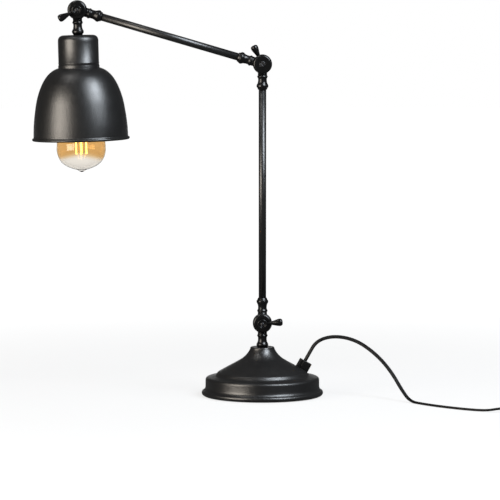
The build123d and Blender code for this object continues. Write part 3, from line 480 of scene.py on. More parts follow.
def finish(slot):
    """The finish of a material slot of the record, made at its first use."""
    name = f"{slot}_finish"
    if name in bpy.data.materials:
        return bpy.data.materials[name]
    if slot in COATS:
        colour, other, rough, more = COATS[slot]
        return coat(name, colour, other, rough, **more)
    if slot in METALS:
        return turned_metal(name, *METALS[slot])
    if slot in GLASS_AND_GLOW:
        return GLASS_AND_GLOW[slot](name)
    looks = bpy.context.scene.lamp_finish
    paint, gloss = tuple(looks.paint), tuple(looks.levers)
    colour, darker, rough, more = {
        "powder_coat": (paint, 0.75, looks.paint_roughness, dict(grain=1500.0, depth=0.00008, level=1.0)),
        "swivel_black": (gloss, 0.7, 0.22, dict(depth=0.000008)),
        "lever_black": (gloss, 0.8, 0.16, dict(depth=0.000004, dust=0.006)),
    }[slot]
    return coat(name, colour, tuple(c * darker for c in colour), rough, **more)


class LampShape(bpy.types.PropertyGroup):
    """Sizes that Blender alone settles."""
    edge: bpy.props.FloatProperty(name="Turned edges", description="Rounding of the swivels' and levers' edges",
                                  default=0.0005, unit="LENGTH")
    cord_width: bpy.props.FloatProperty(name="Cord width", description="Wide side of the flat cord", default=0.0048,
                                        unit="LENGTH")
    cord_height: bpy.props.FloatProperty(name="Cord height", description="Narrow side of the flat cord",
                                         default=0.0029, unit="LENGTH")
    thread: bpy.props.FloatProperty(name="Bulb thread", description="Depth of the bulb cap's rolled thread",
                                    default=0.0007, unit="LENGTH")


class LampFinish(bpy.types.PropertyGroup):
    """Colours and gloss."""
    paint: bpy.props.FloatVectorProperty(name="Paint", description="Black powder coat of the base and the shade",
                                         default=(0.0042, 0.0042, 0.0046), subtype="COLOR")
    paint_roughness: bpy.props.FloatProperty(name="Paint roughness", description="Gloss of the powder coat",
                                             default=0.30, subtype="FACTOR", min=0.0, max=1.0)
    levers: bpy.props.FloatVectorProperty(name="Swivels", description="Black of the swivels and levers",
                                          default=(0.0036, 0.0036, 0.0039), subtype="COLOR")
    film: bpy.props.FloatVectorProperty(name="Glass film", description="Amber film in the glass",
                                        default=(0.86, 0.64, 0.36), subtype="COLOR")
    # The tip's colour is a painted reflection of the pale floor and backdrop in the glass.
    tip_painted_reflection: bpy.props.FloatVectorProperty(name="Glass tip", description="Glass below the film's border",
                                             default=(0.96, 0.93, 0.88), subtype="COLOR")
    # Height where the amber film gives way to the painted reflection.
    painted_reflection_edge: bpy.props.FloatProperty(name="Film edge", description="Height of the film's border", default=0.318,
                                       unit="LENGTH")
    glow: bpy.props.FloatVectorProperty(name="Glow", description="Light of the filaments", default=(1.0, 0.55, 0.12),
                                        subtype="COLOR")
    glow_strength: bpy.props.FloatProperty(name="Glow strength", description="Strength of the filaments' light",
                                           default=7.0)


class LampStage(bpy.types.PropertyGroup):
    """Camera and lights."""
    camera_distance: bpy.props.FloatProperty(name="Camera distance", description="From the lamp's axis to the camera",
                                             default=4.15, unit="LENGTH")
    camera_height: bpy.props.FloatProperty(name="Camera height", description="Camera above the table", default=0.554,
                                           unit="LENGTH")
    pitch: bpy.props.FloatProperty(name="Camera pitch", description="How far the camera looks down",
                                   default=math.radians(4.98), subtype="ANGLE")
    left_light: bpy.props.FloatProperty(name="Left light", description="Power of the warm panel at the left",
                                        default=38.0, unit="POWER")
    right_light: bpy.props.FloatProperty(name="Right light", description="Power of the cool panel at the right",
                                         default=44.0, unit="POWER")
    top_light: bpy.props.FloatProperty(name="Top light", description="Power of the panel above the left side",
                                       default=4.0, unit="POWER")


def backdrop(tree, ahead, low, high):
    """How white the background shows: whole to the camera and through glass; in gloss whole where it lies behind
    the lamp and faint elsewhere; none to light that falls on matt faces."""
    rays = put(tree, "ShaderNodeLightPath").outputs
    seen = math_node(tree, "MAXIMUM", rays["Is Camera Ray"], rays["Is Transmission Ray"])
    behind = times(tree, rays["Is Glossy Ray"], ranged(tree, ahead, low, high, 0.08, 1.0))
    return math_node(tree, "MAXIMUM", seen, behind)


def stage_surface(name, colour):
    """Pale matt surface that adds its own light, as the backdrop shows it. That light is 0.76 up to 0.3 m from the
    lamp and 1 beyond 1.6 m, so that the shadow near the lamp still shows. To gloss rays its matt colour is near
    black, a painted shade that keeps the floor dark in reflections."""
    material = bpy.data.materials.new(name)
    tree = emptied(material)
    spot = own_place(tree)
    seen = backdrop(tree, put(tree, "ShaderNodeSeparateXYZ", Vector=spot).outputs[1], 4.0, 8.5)
    slow = group_node(tree, drift_effect(), Scale=2.0)["Mask"]
    pale = blended(tree, slow, (*colour, 1), (*(c * 0.98 for c in colour), 1))
    # Painted shade: seen in gloss, the floor's matt colour turns near black, so reflections of it stay dark.
    mirrored = put(tree, "ShaderNodeLightPath").outputs["Is Glossy Ray"]
    matt = put(tree, "ShaderNodeBsdfDiffuse", Color=blended(tree, mirrored, pale, (0.05, 0.05, 0.05, 1)))
    away = put(tree, "ShaderNodeVectorMath", {"operation": "LENGTH"}, _0=spot).outputs["Value"]
    share = times(tree, seen, ranged(tree, away, 0.3, 1.6, 0.76, 1.0))
    light = put(tree, "ShaderNodeEmission", Color=(1, 1, 1, 1), Strength=share)
    both = put(tree, "ShaderNodeAddShader", _0=matt.outputs[0], _1=light.outputs[0])
    tree.links.new(both.outputs[0], tree.nodes.new("ShaderNodeOutputMaterial").inputs[0])
    return material


# Soft panels of the stage: where each stands and looks, in metres, its sides and its colour
PANEL_AIM = (-0.15, 0, 0.3)
PANELS = {
    "left": ((-1.7, -1.3, 0.6), PANEL_AIM, (1.3, 1.3), (1.0, 0.91, 0.80)),
    "right": ((1.0, -0.95, 1.55), PANEL_AIM, (0.8, 1.2), (0.86, 0.93, 1.0)),
    "top": ((-0.9, -0.35, 2.2), (-0.1, 0, 0.3), (0.5, 0.5), (1.0, 0.98, 0.95)),
}
# The photograph's width and focal length in pixels, and the sensor's width in millimetres
PHOTO_PIXELS, FOCAL_PIXELS, SENSOR = 500, 3170, 36.0
CAMERA_X = -0.0163
# The floor's rings and its height under the felt, in millimetres
FLOOR_RINGS, FLOOR_Z = (0, 400, 1500, 9000), -0.2


def area_light(name, at, aim, size, colour, power):
    """A soft panel that looks at a point."""
    light = bpy.data.lights.new(name, "AREA")
    light.shape, light.size, light.size_y = "RECTANGLE", size[0], size[1]
    light.energy, light.color = power, colour
    lamp = bpy.data.objects.new(name, light)
    lamp.location = at
    lamp.rotation_mode = "QUATERNION"
    lamp.rotation_quaternion = (Vector(aim) - Vector(at)).to_track_quat("-Z", "Y")
    bpy.context.scene.collection.objects.link(lamp)


class LAMP_OT_stage(bpy.types.Operator):
    """Camera at the photograph's angle, pale floor, soft panels and world light"""
    bl_idname = "lamp.stage"
    bl_label = "Stage"

    def execute(self, context):
        scene, stage = context.scene, context.scene.lamp_stage
        scene.view_settings.view_transform = "Standard"
        eye = bpy.data.cameras.new("camera")
        eye.sensor_width, eye.lens = SENSOR, FOCAL_PIXELS * SENSOR / PHOTO_PIXELS
        camera = bpy.data.objects.new("camera", eye)
        camera.location = (CAMERA_X, -stage.camera_distance, stage.camera_height)
        camera.rotation_euler = (math.pi / 2 - stage.pitch, 0, 0)
        scene.collection.objects.link(camera)
        scene.camera = camera
        disc = lathe([(ring, FLOOR_Z) for ring in FLOOR_RINGS], around=64)
        floor = skin("floor", disc, material=stage_surface("floor", (0.2, 0.2, 0.2)))
        for side, facts in PANELS.items():
            area_light(f"{side}_panel", *facts, getattr(stage, f"{side}_light"))
        world = bpy.data.worlds.new("studio")
        scene.world = world
        tree = emptied(world)
        way = put(tree, "ShaderNodeTexCoord").outputs["Generated"]
        seen = backdrop(tree, put(tree, "ShaderNodeSeparateXYZ", Vector=way).outputs[1], 0.97, 0.999)
        matt = put(tree, "ShaderNodeLightPath").outputs["Is Diffuse Ray"]
        strength = math_node(tree, "MAXIMUM", seen, times(tree, matt, 0.2))
        sky = put(tree, "ShaderNodeBackground", Color=(1, 1, 1, 1), Strength=strength)
        tree.links.new(sky.outputs[0], tree.nodes.new("ShaderNodeOutputWorld").inputs[0])
        return {"FINISHED"}


def spline_path(name, points):
    """Points along a smooth line that the control points steer, as Blender gives them for a curve with no bevel."""
    curve = bpy.data.curves.new(name, "CURVE")
    curve.dimensions = "3D"
    spline = curve.splines.new("NURBS")
    spline.points.add(len(points) - 1)
    spline.points.foreach_set("co", np.column_stack([points, np.ones(len(points))]).ravel())
    spline.order_u, spline.use_endpoint_u, spline.resolution_u = 3, True, 8
    holder = bpy.data.objects.new(name, curve)
    bpy.context.scene.collection.objects.link(holder)
    bpy.context.view_layer.update()
    mesh = bpy.data.meshes.new_from_object(holder)
    path = np.empty(len(mesh.vertices) * 3)
    mesh.vertices.foreach_get("co", path)
    bpy.data.objects.remove(holder)
    bpy.data.meshes.remove(mesh)
    return path.reshape(-1, 3)


def flat_section(width, height, steps=9):
    """Outline of the flat twin cord: a half circle at each side, and a faint groove between the two cores."""
    r = height / 2
    a = np.linspace(-np.pi / 2, np.pi / 2, steps)
    right = np.stack([width / 2 - r + r * np.cos(a), r * np.sin(a)], 1)
    groove = np.array([(0.35 * r, r), (0.0, r * 0.88), (-0.35 * r, r)])
    return np.concatenate([right, groove, -right, -groove])


def grip_frame():
    """Origin and axes of the cord grip: z square to the cone, x down its slope, y level."""
    t, s = math.radians(GRIP_TURN), math.radians(CONE_SLOPE)
    radial, level = np.array([math.cos(t), math.sin(t), 0]), np.array([-math.sin(t), math.cos(t), 0])
    x = radial * math.cos(s) - np.array([0, 0, math.sin(s)])
    z = radial * math.sin(s) + np.array([0, 0, math.cos(s)])
    return radial * GRIP_R + np.array([0, 0, GRIP_Z]), np.array([x, level, z])


def switch_spot(out, z=SWITCH_CORD_Z):
    """A point on the switch's cord axis, the distance given beyond its middle."""
    t = math.radians(SWITCH_TURN)
    return (SWITCH_AT[0] + out * math.cos(t), SWITCH_AT[1] + out * math.sin(t), z)


def coil_line(per_half=8):
    """Control points of the coil by half turns: the radius falls a step each on the lower layer, stays for the
    half turn that climbs, and grows a step each on the upper. A quadratic spline runs inside its points by the
    mean of one and the cosine of the angle between them, so they stand that much further out."""
    h = np.arange(0, (IN_TURNS + 1 + OUT_TURNS) * per_half + 1) / per_half
    inmost = COIL_R - COIL_STEP * IN_TURNS
    r = np.where(h <= IN_TURNS, COIL_R - COIL_STEP * h, inmost + COIL_STEP * np.maximum(h - IN_TURNS - 1, 0))
    climb = np.clip(h - IN_TURNS, 0, 1)
    z = COIL_LOW + COIL_LAYER * climb * climb * (3 - 2 * climb)
    r = r / ((1 + math.cos(math.pi / per_half)) / 2)
    return np.stack([COIL_AT[0] + r * np.cos(h * np.pi), COIL_AT[1] + r * np.sin(h * np.pi), z], 1)


def oval(half_long, half_wide, squareness, around=96):
    """A superellipse: one side times the cosine and the other times the sine, each to the power two over the
    squareness with its sign kept."""
    turn = np.linspace(0, 2 * np.pi, around, endpoint=False)
    long, wide = (np.sign(c) * abs(c) ** (2 / squareness) for c in (np.cos(turn), np.sin(turn)))
    return np.stack([half_long * long, half_wide * wide], -1)


def swelling(rows, at=(0, 0, 0), around=72):
    """A solid of ovals along y: a row is a place, a half width, a half height and a squareness."""
    y, w, h, n = (np.asarray(rows, float)[:, k:k + 1] for k in range(4))
    flat = oval(w, h, n, around)
    return placed(capped(np.stack([flat[..., 0], np.broadcast_to(y, flat.shape[:2]), flat[..., 1]], -1)), at)


def capped(grid):
    """A grid with its first and last rows closed at their middle."""
    ends = [np.broadcast_to(grid[k].mean(0), grid[k].shape)[None] for k in (0, -1)]
    return np.concatenate([ends[0], grid, ends[1]])


def raised(outer, rows, inner=None, at=(0, 0, 0), turn=0.0):
    """A plan outline raised in rows of inset, height and share of the way to an inner outline. The inset moves
    each point that far towards the middle."""
    grid = []
    for inset_by, z, share in rows:
        plan = outer + ((0 if inner is None else inner) - outer) * share if share else outer
        plan = plan * (1 - inset_by / np.linalg.norm(plan, axis=1))[:, None]
        grid.append(np.column_stack([plan, np.full(len(plan), z)]))
    c, s = math.cos(math.radians(turn)), math.sin(math.radians(turn))
    return placed(np.array(grid), at, np.array([(c, s, 0), (-s, c, 0), (0, 0, 1)]))


def switch_pieces():
    """Lower and upper shell of the cord switch: an oval plan raised with a round edge; the upper one has a
    window with a well, its inner outline a squarish oval."""
    at, turn = (SWITCH_AT[0] / MM, SWITCH_AT[1] / MM, 0), SWITCH_TURN
    plan, window = oval(*SWITCH_HALF, 2.7, 144), oval(*WINDOW_HALF, 9.0, 144)
    rows = [(1.6, 0.0, 0), (0.9, 0.15, 0), (0.3, 0.7, 0), (0.0, 1.6, 0), (0.0, 8.4, 0), (0.25, 8.85, 0),
            (0.6, SWITCH_SEAM, 0)]
    lower = capped(raised(plan, rows, None, at, turn))
    low, top = SWITCH_SEAM + 0.05, SWITCH_TOP
    rows = [(0.6, low, 0), (0.25, 9.2, 0), (0.0, 9.65, 0), (0.05, 13.2, 0), (0.5, 15.6, 0), (1.4, 17.0, 0),
            (2.6, top - 0.3, 0), (4.2, top, 0), (0.0, top, 0.97), (0.0, top - 0.3, 1), (0.0, low, 1), (0.6, low, 0)]
    upper = raised(plan, rows, window, at, turn)
    return [skin("switch_lower", lower, body="base", node="switch_base", slot="switch_plastic"),
            skin("switch_upper", upper, body="base", node="switch_cover", slot="switch_plastic")]


def plug_piece():
    """Flat moulded plug: ovals that swell from a ribbed tail to the face. A rib is half of one less the cosine of
    the distance along the tail, over its pitch."""
    rows = flowing([(0, 3.3, 2.9, 2.2), (1.2, 4.3, 3.7, 2.2), (6, 5.0, 4.1, 2.3), (11.5, 7.6, 4.7, 2.5),
                    (16, 10.2, 5.7, 2.7), (21, 11.3, 6.4, 2.9), (27, 12.6, 6.75, 3.2), (35, 16.3, 6.85, 3.6),
                    (40, 17.6, 6.85, 4.0), (45.0, 17.65, 6.85, 4.2)], 130)
    wave = 0.5 - 0.5 * np.cos(rows[:, 0] * 2 * np.pi / RIB_PITCH)
    ribs = np.where(rows[:, 0] < RIBS * RIB_PITCH, RIB_DEPTH * wave, 0)
    rows[:, 1] -= ribs
    rows[:, 2] -= ribs * 0.7
    rows = np.concatenate([rows, [(45.5, 17.5, 6.7, 4.2), (45.85, 17.2, 6.4, 4.2), (46.0, 16.7, 5.9, 4.2)]])
    return skin("plug_grip", swelling(rows, np.array(PLUG_AT) / MM), body="base", node="plug_body", slot="plug_pvc")


def tie_piece():
    """Soft strap round the turns: a round-cornered loop with a thin flat section."""
    low, high = (COIL_R - COIL_STEP * IN_TURNS - 0.0034) / MM, COIL_R / MM + TIE_SLACK
    wide, tall = (high - low) / 2, (TIE_TOP - TIE_THICK - 0.1) / 2
    corners = np.array([(1, 1), (-1, 1), (-1, -1), (1, -1)], float)
    inside = eased(corners * (wide, tall), TIE_ROUND, 8, closed=True)
    outside = eased(corners * (wide + TIE_THICK, tall + TIE_THICK), TIE_ROUND + TIE_THICK, 8, closed=True)
    loops = [(outside, -TIE_HALF), (outside, TIE_HALF), (inside, TIE_HALF + 0.1), (inside, -TIE_HALF - 0.1),
             (outside, -TIE_HALF)]
    grid = np.array([np.column_stack([line[:, 0], np.full(len(line), y), line[:, 1]]) for line, y in loops])
    grid += (COIL_AT[0] / MM - (low + high) / 2, COIL_AT[1] / MM, (TIE_TOP + TIE_THICK) / 2)
    return skin("strap", grid, body="base", node="coil_tie", slot="tie_plastic")


class LAMP_OT_grip(bpy.types.Operator):
    """Cord grip on the base's cone: a thin slab above and a squarish block below the cord"""
    bl_idname = "lamp.grip"
    bl_label = "Cord grip"

    def execute(self, context):
        origin, axes = grip_frame()
        slab, lump = (block(*sizes, origin, axes) for sizes in (GRIP_SLAB, GRIP_BLOCK))
        skin("grip_slab", slab, body="base", node="cord_grip_wedge", slot="grip_plastic")
        skin("grip_block", lump, body="base", node="cord_grip_body", slot="grip_plastic")
        return {"FINISHED"}


class LAMP_OT_cords(bpy.types.Operator):
    """Flat twin cord: from the grip to the switch, and on through the tied coil to the plug"""
    bl_idname = "lamp.cords"
    bl_label = "Cords"

    def execute(self, context):
        shape = context.scene.lamp_shape
        section = flat_section(shape.cord_width, shape.cord_height)
        sheath = finish("cord_sheath")
        origin, axes = grip_frame()
        start = [(origin + axes[2] * out) * MM for out in CORD_OUT]
        lead = spline_path("lead_line", [*start, *LEAD_POINTS, switch_spot(-0.041), switch_spot(-SWITCH_END)])
        rise = np.clip((TILT_END - lead[:, 0]) / TILT_RUN, 0, 1)
        tilt = rise * rise * (3 - 2 * rise) * math.radians(ARCH_TILT)
        piece = skin("lead", swept(lead, section, tilt) / MM, body="base", node="cord", material=sheath)
        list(switch_pieces())
        coil = coil_line()
        before = [switch_spot(SWITCH_END), switch_spot(0.042), *TAIL_POINTS]
        first, last = coil[0], coil[-1]
        before += [(first[0], COIL_AT[1] - 0.0198, COIL_LOW), (first[0], COIL_AT[1] - 0.0048, COIL_LOW)]
        after = [(last[0], COIL_AT[1] + 0.0048, last[2]), (last[0] + 0.0006, COIL_AT[1] + 0.017, last[2]),
                 (PLUG_AT[0], PLUG_AT[1] - 0.013, PLUG_AT[2]), PLUG_AT]
        rest = spline_path("rest_line", [*before, *coil, *after])
        piece = skin("tail", swept(rest, section) / MM, body="base", node=["cord_tail", "cord_coil", "cord_end"],
                     material=sheath)
        plug_piece()
        tie_piece()
        return {"FINISHED"}


class LAMP_OT_base(bpy.types.Operator):
    """Spun base cover: bead, drum, step, cone and neck"""
    bl_idname = "lamp.base"
    bl_label = "Base"

    def execute(self, context):
        bead = flowing([(77.4, 0.6), (79.5, 2.2), (80.0, 4.4), (79.2, 6.4), (77.2, 7.6), (75.7, 9.6),
                        (DRUM_R + 0.05, 12.6)], 26)
        wall = eased([(DRUM_R, 13.0), (DRUM_R, 24.2), (62.0, 26.6)], [0, 3.6, 0], steps=10)[:-1]
        ledge = eased([(62.6, 26.5), (61.4, 26.9), (58.9, 30.9), (57.6, 31.7)], [0, 0.8, 0.9, 0], steps=6)
        cone = flowing([(57.4, 31.85), (43.0, 39.9), (31.5, 46.3), (25.6, 50.1), (20.9, 54.6), (18.0, 58.4),
                        (16.3, 61.6)], 50)
        neck = eased([(16.1, 62.1), (15.4, 64.5), (NIPPLE_HOLE, 64.5), (NIPPLE_HOLE, 62.5)], [0, 1.0, 0, 0], steps=6)
        inner = [(13.4, 62.5), (26.5, 46.8), (58.0, 29.0), (DRUM_BORE, 21.2), (DRUM_BORE, 0.6)]
        outline = np.concatenate([bead, wall, ledge, cone, neck, inner])
        skin("cover", lathe(outline, around=160, closed=True), body="base", node="base_cover", slot="powder_coat")
        return {"FINISHED"}


def collar_line(length, end_r):
    """Turned collar: neck, small bead, waist, big bead and end, as radius and distance from the hinge."""
    line = [(6.1, 12.9), (6.0, 14.6), (6.5, 15.3), (6.95, 16.4), (6.5, 17.5), (5.95, 18.4), (5.7, 20.6), (5.85, 22.8),
            (6.4, 25.0), (7.1, 26.4), (7.65, 27.5), (7.75, 28.6), (7.6, 29.9), (6.9, 30.8)]
    smooth = flowing(line, 70)
    edge, rest = (0.2, []) if length == FOOT_COLLAR[0] else (0.3, [(6.45, 31.3)])
    return np.concatenate([smooth, rest + [(end_r, length - edge), (end_r - edge, length), (0, length)]])


def swivel_half(at, side, angle, length, end_r, holds_stud, edge):
    """A disc on the Y side given, a root within it and the collar, which starts on a hollow cut clear of the other
    half's rim: there its distance is the root of the hollow's radius squared less its side step squared."""
    face = [(STUD_BORE, HALF_GAP), (SWIVEL_R, HALF_GAP), (SWIVEL_R, HALF_OUT - 1.8), (SWIVEL_R - 2.0, HALF_OUT)]
    floor = HALF_OUT - STUD_RECESS
    face += ([(STUD_RECESS_R, HALF_OUT), (STUD_RECESS_R, floor), (STUD_BORE, floor)] if holds_stud
             else [(STUD_BORE, HALF_OUT)])
    rounding = [0, edge * 0.6, edge * 1.6, edge * 1.6] + [0.2, 0, 0][:len(face) - 4]
    disc = lathe(eased(face, rounding, closed=True), at, crosswise(side), closed=True)
    axes = turned_to(angle)
    axes[1] *= side
    root = segment([(ROOT_R, HALF_GAP, 5.0), (ROOT_R, HALF_GAP, 15.0)], at, axes[[1, 0, 2]])
    hollow = SWIVEL_R + RIM_CLEAR
    collar = lathe(np.concatenate([[(0, hollow), (3.0, hollow)], collar_line(length, end_r)]), around=72)
    near = collar[:3]
    near[..., 2] = np.sqrt(hollow ** 2 - near[..., 0] ** 2)
    return [disc, root, placed(collar, at, turned_to(angle))]


# Each swivel's place, its stud's side and its lever's angle, then the half that holds the stud and the half that
# turns: the piece's name, its body, the way it points and its collar
SWIVELS = {
    "lower": (LOWER, REAR, 6.0, ("foot", "base", DOWN, FOOT_COLLAR), ("stem", "stem", UP, TUBE_COLLAR)),
    "elbow": (ELBOW, FRONT, 116.6, ("stem", "stem", DOWN, TUBE_COLLAR), ("arm", "arm", OUT, TUBE_COLLAR)),
    "head": (HEAD, REAR, 207.0, ("arm", "arm", BACK, TUBE_COLLAR), ("cup", "head", HANG, CUP_COLLAR)),
}


class LAMP_OT_swivels(bpy.types.Operator):
    """The six swivel halves with their turned collars"""
    bl_idname = "lamp.swivels"
    bl_label = "Swivels"

    def execute(self, context):
        edge = context.scene.lamp_shape.edge / MM
        for name, (at, stud_side, _, holding, turning) in SWIVELS.items():
            for (part, body, angle, collar), side in ((holding, stud_side), (turning, -stud_side)):
                grids = swivel_half(at, side, angle, *collar, side == stud_side, edge)
                skin(f"{name}_half_{part}", *grids, body=body, node=f"{name}_swivel_{part}", slot="swivel_black")
        return {"FINISHED"}


class LAMP_OT_studs(bpy.types.Operator):
    """The slotted studs that the swivels turn on"""
    bl_idname = "lamp.studs"
    bl_label = "Studs"

    def execute(self, context):
        top, seat = STUD_OUT, STUD_OUT - SLOT_DEPTH
        pin = [(0, STUD_IN), (STUD_R - 0.3, STUD_IN), (STUD_R, STUD_IN + 0.3), (STUD_R, top - 1.5), (0, top - 1.5)]
        plate = [(0, top - 1.6), (STUD_HEAD_R, top - 1.6), (STUD_HEAD_R, seat), (0, seat)]
        rows = [(STUD_HEAD_R, SLOT_HALF, seat - 0.1), (STUD_HEAD_R, SLOT_HALF, top - 0.35),
                (STUD_HEAD_R - 0.15, SLOT_HALF + 0.05, top - 0.1), (STUD_HEAD_R - 0.4, SLOT_HALF + 0.2, top)]
        c = math.sqrt(0.5)
        for name, (at, side, _, holding, _) in SWIVELS.items():
            axes = crosswise(side)
            grids = [lathe(pin, at, axes, 48), lathe(plate, at, axes, 64)]
            for way in (1, -1):
                split = np.array([(c * way, c * way, 0), (-c * way, c * way, 0), (0, 0, 1)]) @ axes
                grids.append(segment(rows, at, split))
            skin(f"{name}_slotted_stud", *grids, body=holding[1], node=f"{name}_stud", slot="stud_steel")
        return {"FINISHED"}


class LAMP_OT_levers(bpy.types.Operator):
    """The three clamping levers: a round hub and a drop-shaped arm"""
    bl_idname = "lamp.levers"
    bl_label = "Levers"

    def execute(self, context):
        edge = context.scene.lamp_shape.edge / MM
        top = HUB_OUT
        rim = [(STUD_BORE, HUB_IN), (HUB_R, HUB_IN), (HUB_R, top), (4.6, top), (4.3, top - 0.5), (2.9, top - 0.5),
               (STUD_BORE, top - 0.8)]
        drop = flowing([(2.1, LEVER_ROOT), (2.1, 6.0), (2.12, 9.0), (2.5, 12.2), (3.3, 15.6), (4.25, 19.2),
                        (4.85, 22.2), (4.75, 24.3), (3.7, 26.0), (1.9, 26.62), (0.4, LEVER_LEN)], 60)
        drop = np.concatenate([[(0, LEVER_ROOT)], drop, [(0, LEVER_LEN)]])
        for name, (at, stud_side, angle, _, _) in SWIVELS.items():
            side = -stud_side
            hub = lathe(eased(rim, [0, edge, 1.9, 0.3, 0.2, 0.2, 0], closed=True), at, crosswise(side), closed=True)
            arm = lathe(drop, np.asarray(at) + (0, side * (HUB_IN + LEVER_OFF), 0), turned_to(90 - angle), 48)
            skin(f"{name}_clamp_lever", hub, arm, body=f"{name}_clamp", node=f"{name}_lever", slot="lever_black")
        return {"FINISHED"}


class LAMP_OT_tubes(bpy.types.Operator):
    """The upright stem and the arm"""
    bl_idname = "lamp.tubes"
    bl_label = "Tubes"

    def execute(self, context):
        for name, at, angle, span in (("stem", LOWER, UP, STEM_SPAN), ("arm", ELBOW, OUT, ARM_SPAN)):
            low, high = TUBE_SEAT, span - TUBE_SEAT
            outline = [(TUBE_BORE, low), (TUBE_R, low), (TUBE_R, high), (TUBE_BORE, high)]
            skin(f"{name}_pipe", lathe(outline, at, turned_to(angle), 64, closed=True), body=name,
                 node=f"{name}_tube", slot="powder_coat")
        return {"FINISHED"}


def on_head(name, outline, node, slot, around=96, closed=True, wave=None):
    """A piece that rides on the head: an outline turned about the shade's axis."""
    return skin(name, lathe(outline, HEAD, turned_to(HANG), around, closed, wave), body="head", node=node, slot=slot)


def upright(radius, low, high, count):
    """Points up a straight wall, close enough together to take a thread."""
    return np.stack([np.full(count, radius), np.linspace(low, high, count)], 1)


class LAMP_OT_shade(bpy.types.Operator):
    """The drawn cup, the spun bell with its rolled edge and the knurled ring inside"""
    bl_idname = "lamp.shade"
    bl_label = "Shade"

    def execute(self, context):
        under, hole = CUP_TOP + CUP_WALL, NIPPLE_HOLE
        cup = [(hole, CUP_TOP), (CUP_R, CUP_TOP), (CUP_R, 68.4), (CUP_BEAD_R, 68.8), (CUP_BEAD_R, 69.5),
               (CUP_R, 69.9), (CUP_R, CUP_END), (CUP_BORE, CUP_END), (CUP_BORE, under), (hole, under)]
        on_head("cup", eased(cup, [0, 8.2, 0, 0.2, 0.2, 0, 0.3, 0, 7.6, 0], 14, closed=True), "shade_cup",
                "powder_coat", 128)
        dome = flowing([(27.0, 75.6), (30.6, 76.9), (34.6, 79.0), (41.0, 84.4), (46.8, 92.3), (51.8, 102.8),
                        (55.9, 115.2), (59.1, 131.8), (61.3, 150.0), (62.0, 166.0)], 90)
        band = eased([(26.0, CUP_END + 0.1), (27.0, CUP_END + 0.1), (27.0, 75.4)], [0, 0.4, 0], steps=4)
        roll = arc((62.1, 168.2), 1.9, -80, 170, 18)
        lining = inset(dome, BELL_WALL)[::-1]
        lining = lining[lining[:, 1] > WEB_HIGH + 0.4]
        bore = HOLDER_R + 0.2
        web = [(26.0, WEB_HIGH), (bore, WEB_HIGH), (bore, WEB_LOW), (26.0, WEB_LOW)]
        on_head("bell", np.concatenate([band, dome, roll, lining, web]), "shade_bell", "powder_coat", 160)
        bore, low = HOLDER_R + 0.05, WEB_HIGH + 0.05
        rim = [(bore, low), (RING_R, low), (RING_R, low + RING_HIGH), (bore, low + RING_HIGH)]
        on_head("knurled_ring", eased(rim, [0, 0.7, 0.7, 0], closed=True), "shade_ring", "holder_plastic",
                6 * RING_KNURLS, wave=knurls(KNURL_DEPTH, RING_KNURLS, low + 0.4, low + RING_HIGH - 0.4))
        return {"FINISHED"}


def knurls(depth, count, start, end):
    """Grooves along a turned wall between two heights: the radius falls by the depth times half of one less the
    cosine of the turn times their count."""
    return lambda turn, z: np.where((z > start) & (z < end), -depth * (0.5 - 0.5 * np.cos(turn * count)), 0)


def thread(depth, pitch, start, end):
    """A rounded screw thread: the radius swings with the height over the pitch less the turn, and fades at both
    ends, over one pitch each."""
    def wave(turn, z):
        fade = np.clip((z - start) / pitch, 0, 1) * np.clip((end - z) / pitch, 0, 1)
        return depth * fade * (np.cos(2 * np.pi * z / pitch - turn) - 1) / 2
    return wave


class LAMP_OT_holder(bpy.types.Operator):
    """The lampholder: domed cap, threaded skirt with its lip"""
    bl_idname = "lamp.holder"
    bl_label = "Lampholder"

    def execute(self, context):
        r, bore, seam, hole = HOLDER_R, HOLDER_BORE, HOLDER_SEAM, NIPPLE_HOLE
        cap = [(hole, 34.2), (9.0, 34.2), (9.0, 40.4), (r, 47.5), (r, seam), (bore, seam), (bore, 50.0), (hole, 44.4)]
        on_head("holder_dome", eased(cap, [0, 0.8, 2.0, 5.0, 0.4, 0, 3.0, 0], steps=7, closed=True), "holder_cap",
                "holder_plastic")
        top, floor = seam + 0.05, 66.2
        lip = [(r, 74.55), (21.8, 74.6), (22.0, 74.8), (22.0, 76.6), (21.8, 76.75), (r, 76.75)]
        body = np.concatenate([[(0, floor), (bore, floor), (bore, top), (r, top)], lip, upright(r, 87.0, 96.0, 46),
                               [(r, HOLDER_END), (13.35, HOLDER_END), (13.35, 70.2), (0, 70.2)]])
        screw = thread(SKIRT_THREAD, SKIRT_PITCH, 87.0, 96.2)
        on_head("holder_skirt", body, "holder_body", "holder_plastic",
                wave=lambda turn, z: np.where(z > 86.5, screw(turn, z), 0))
        return {"FINISHED"}


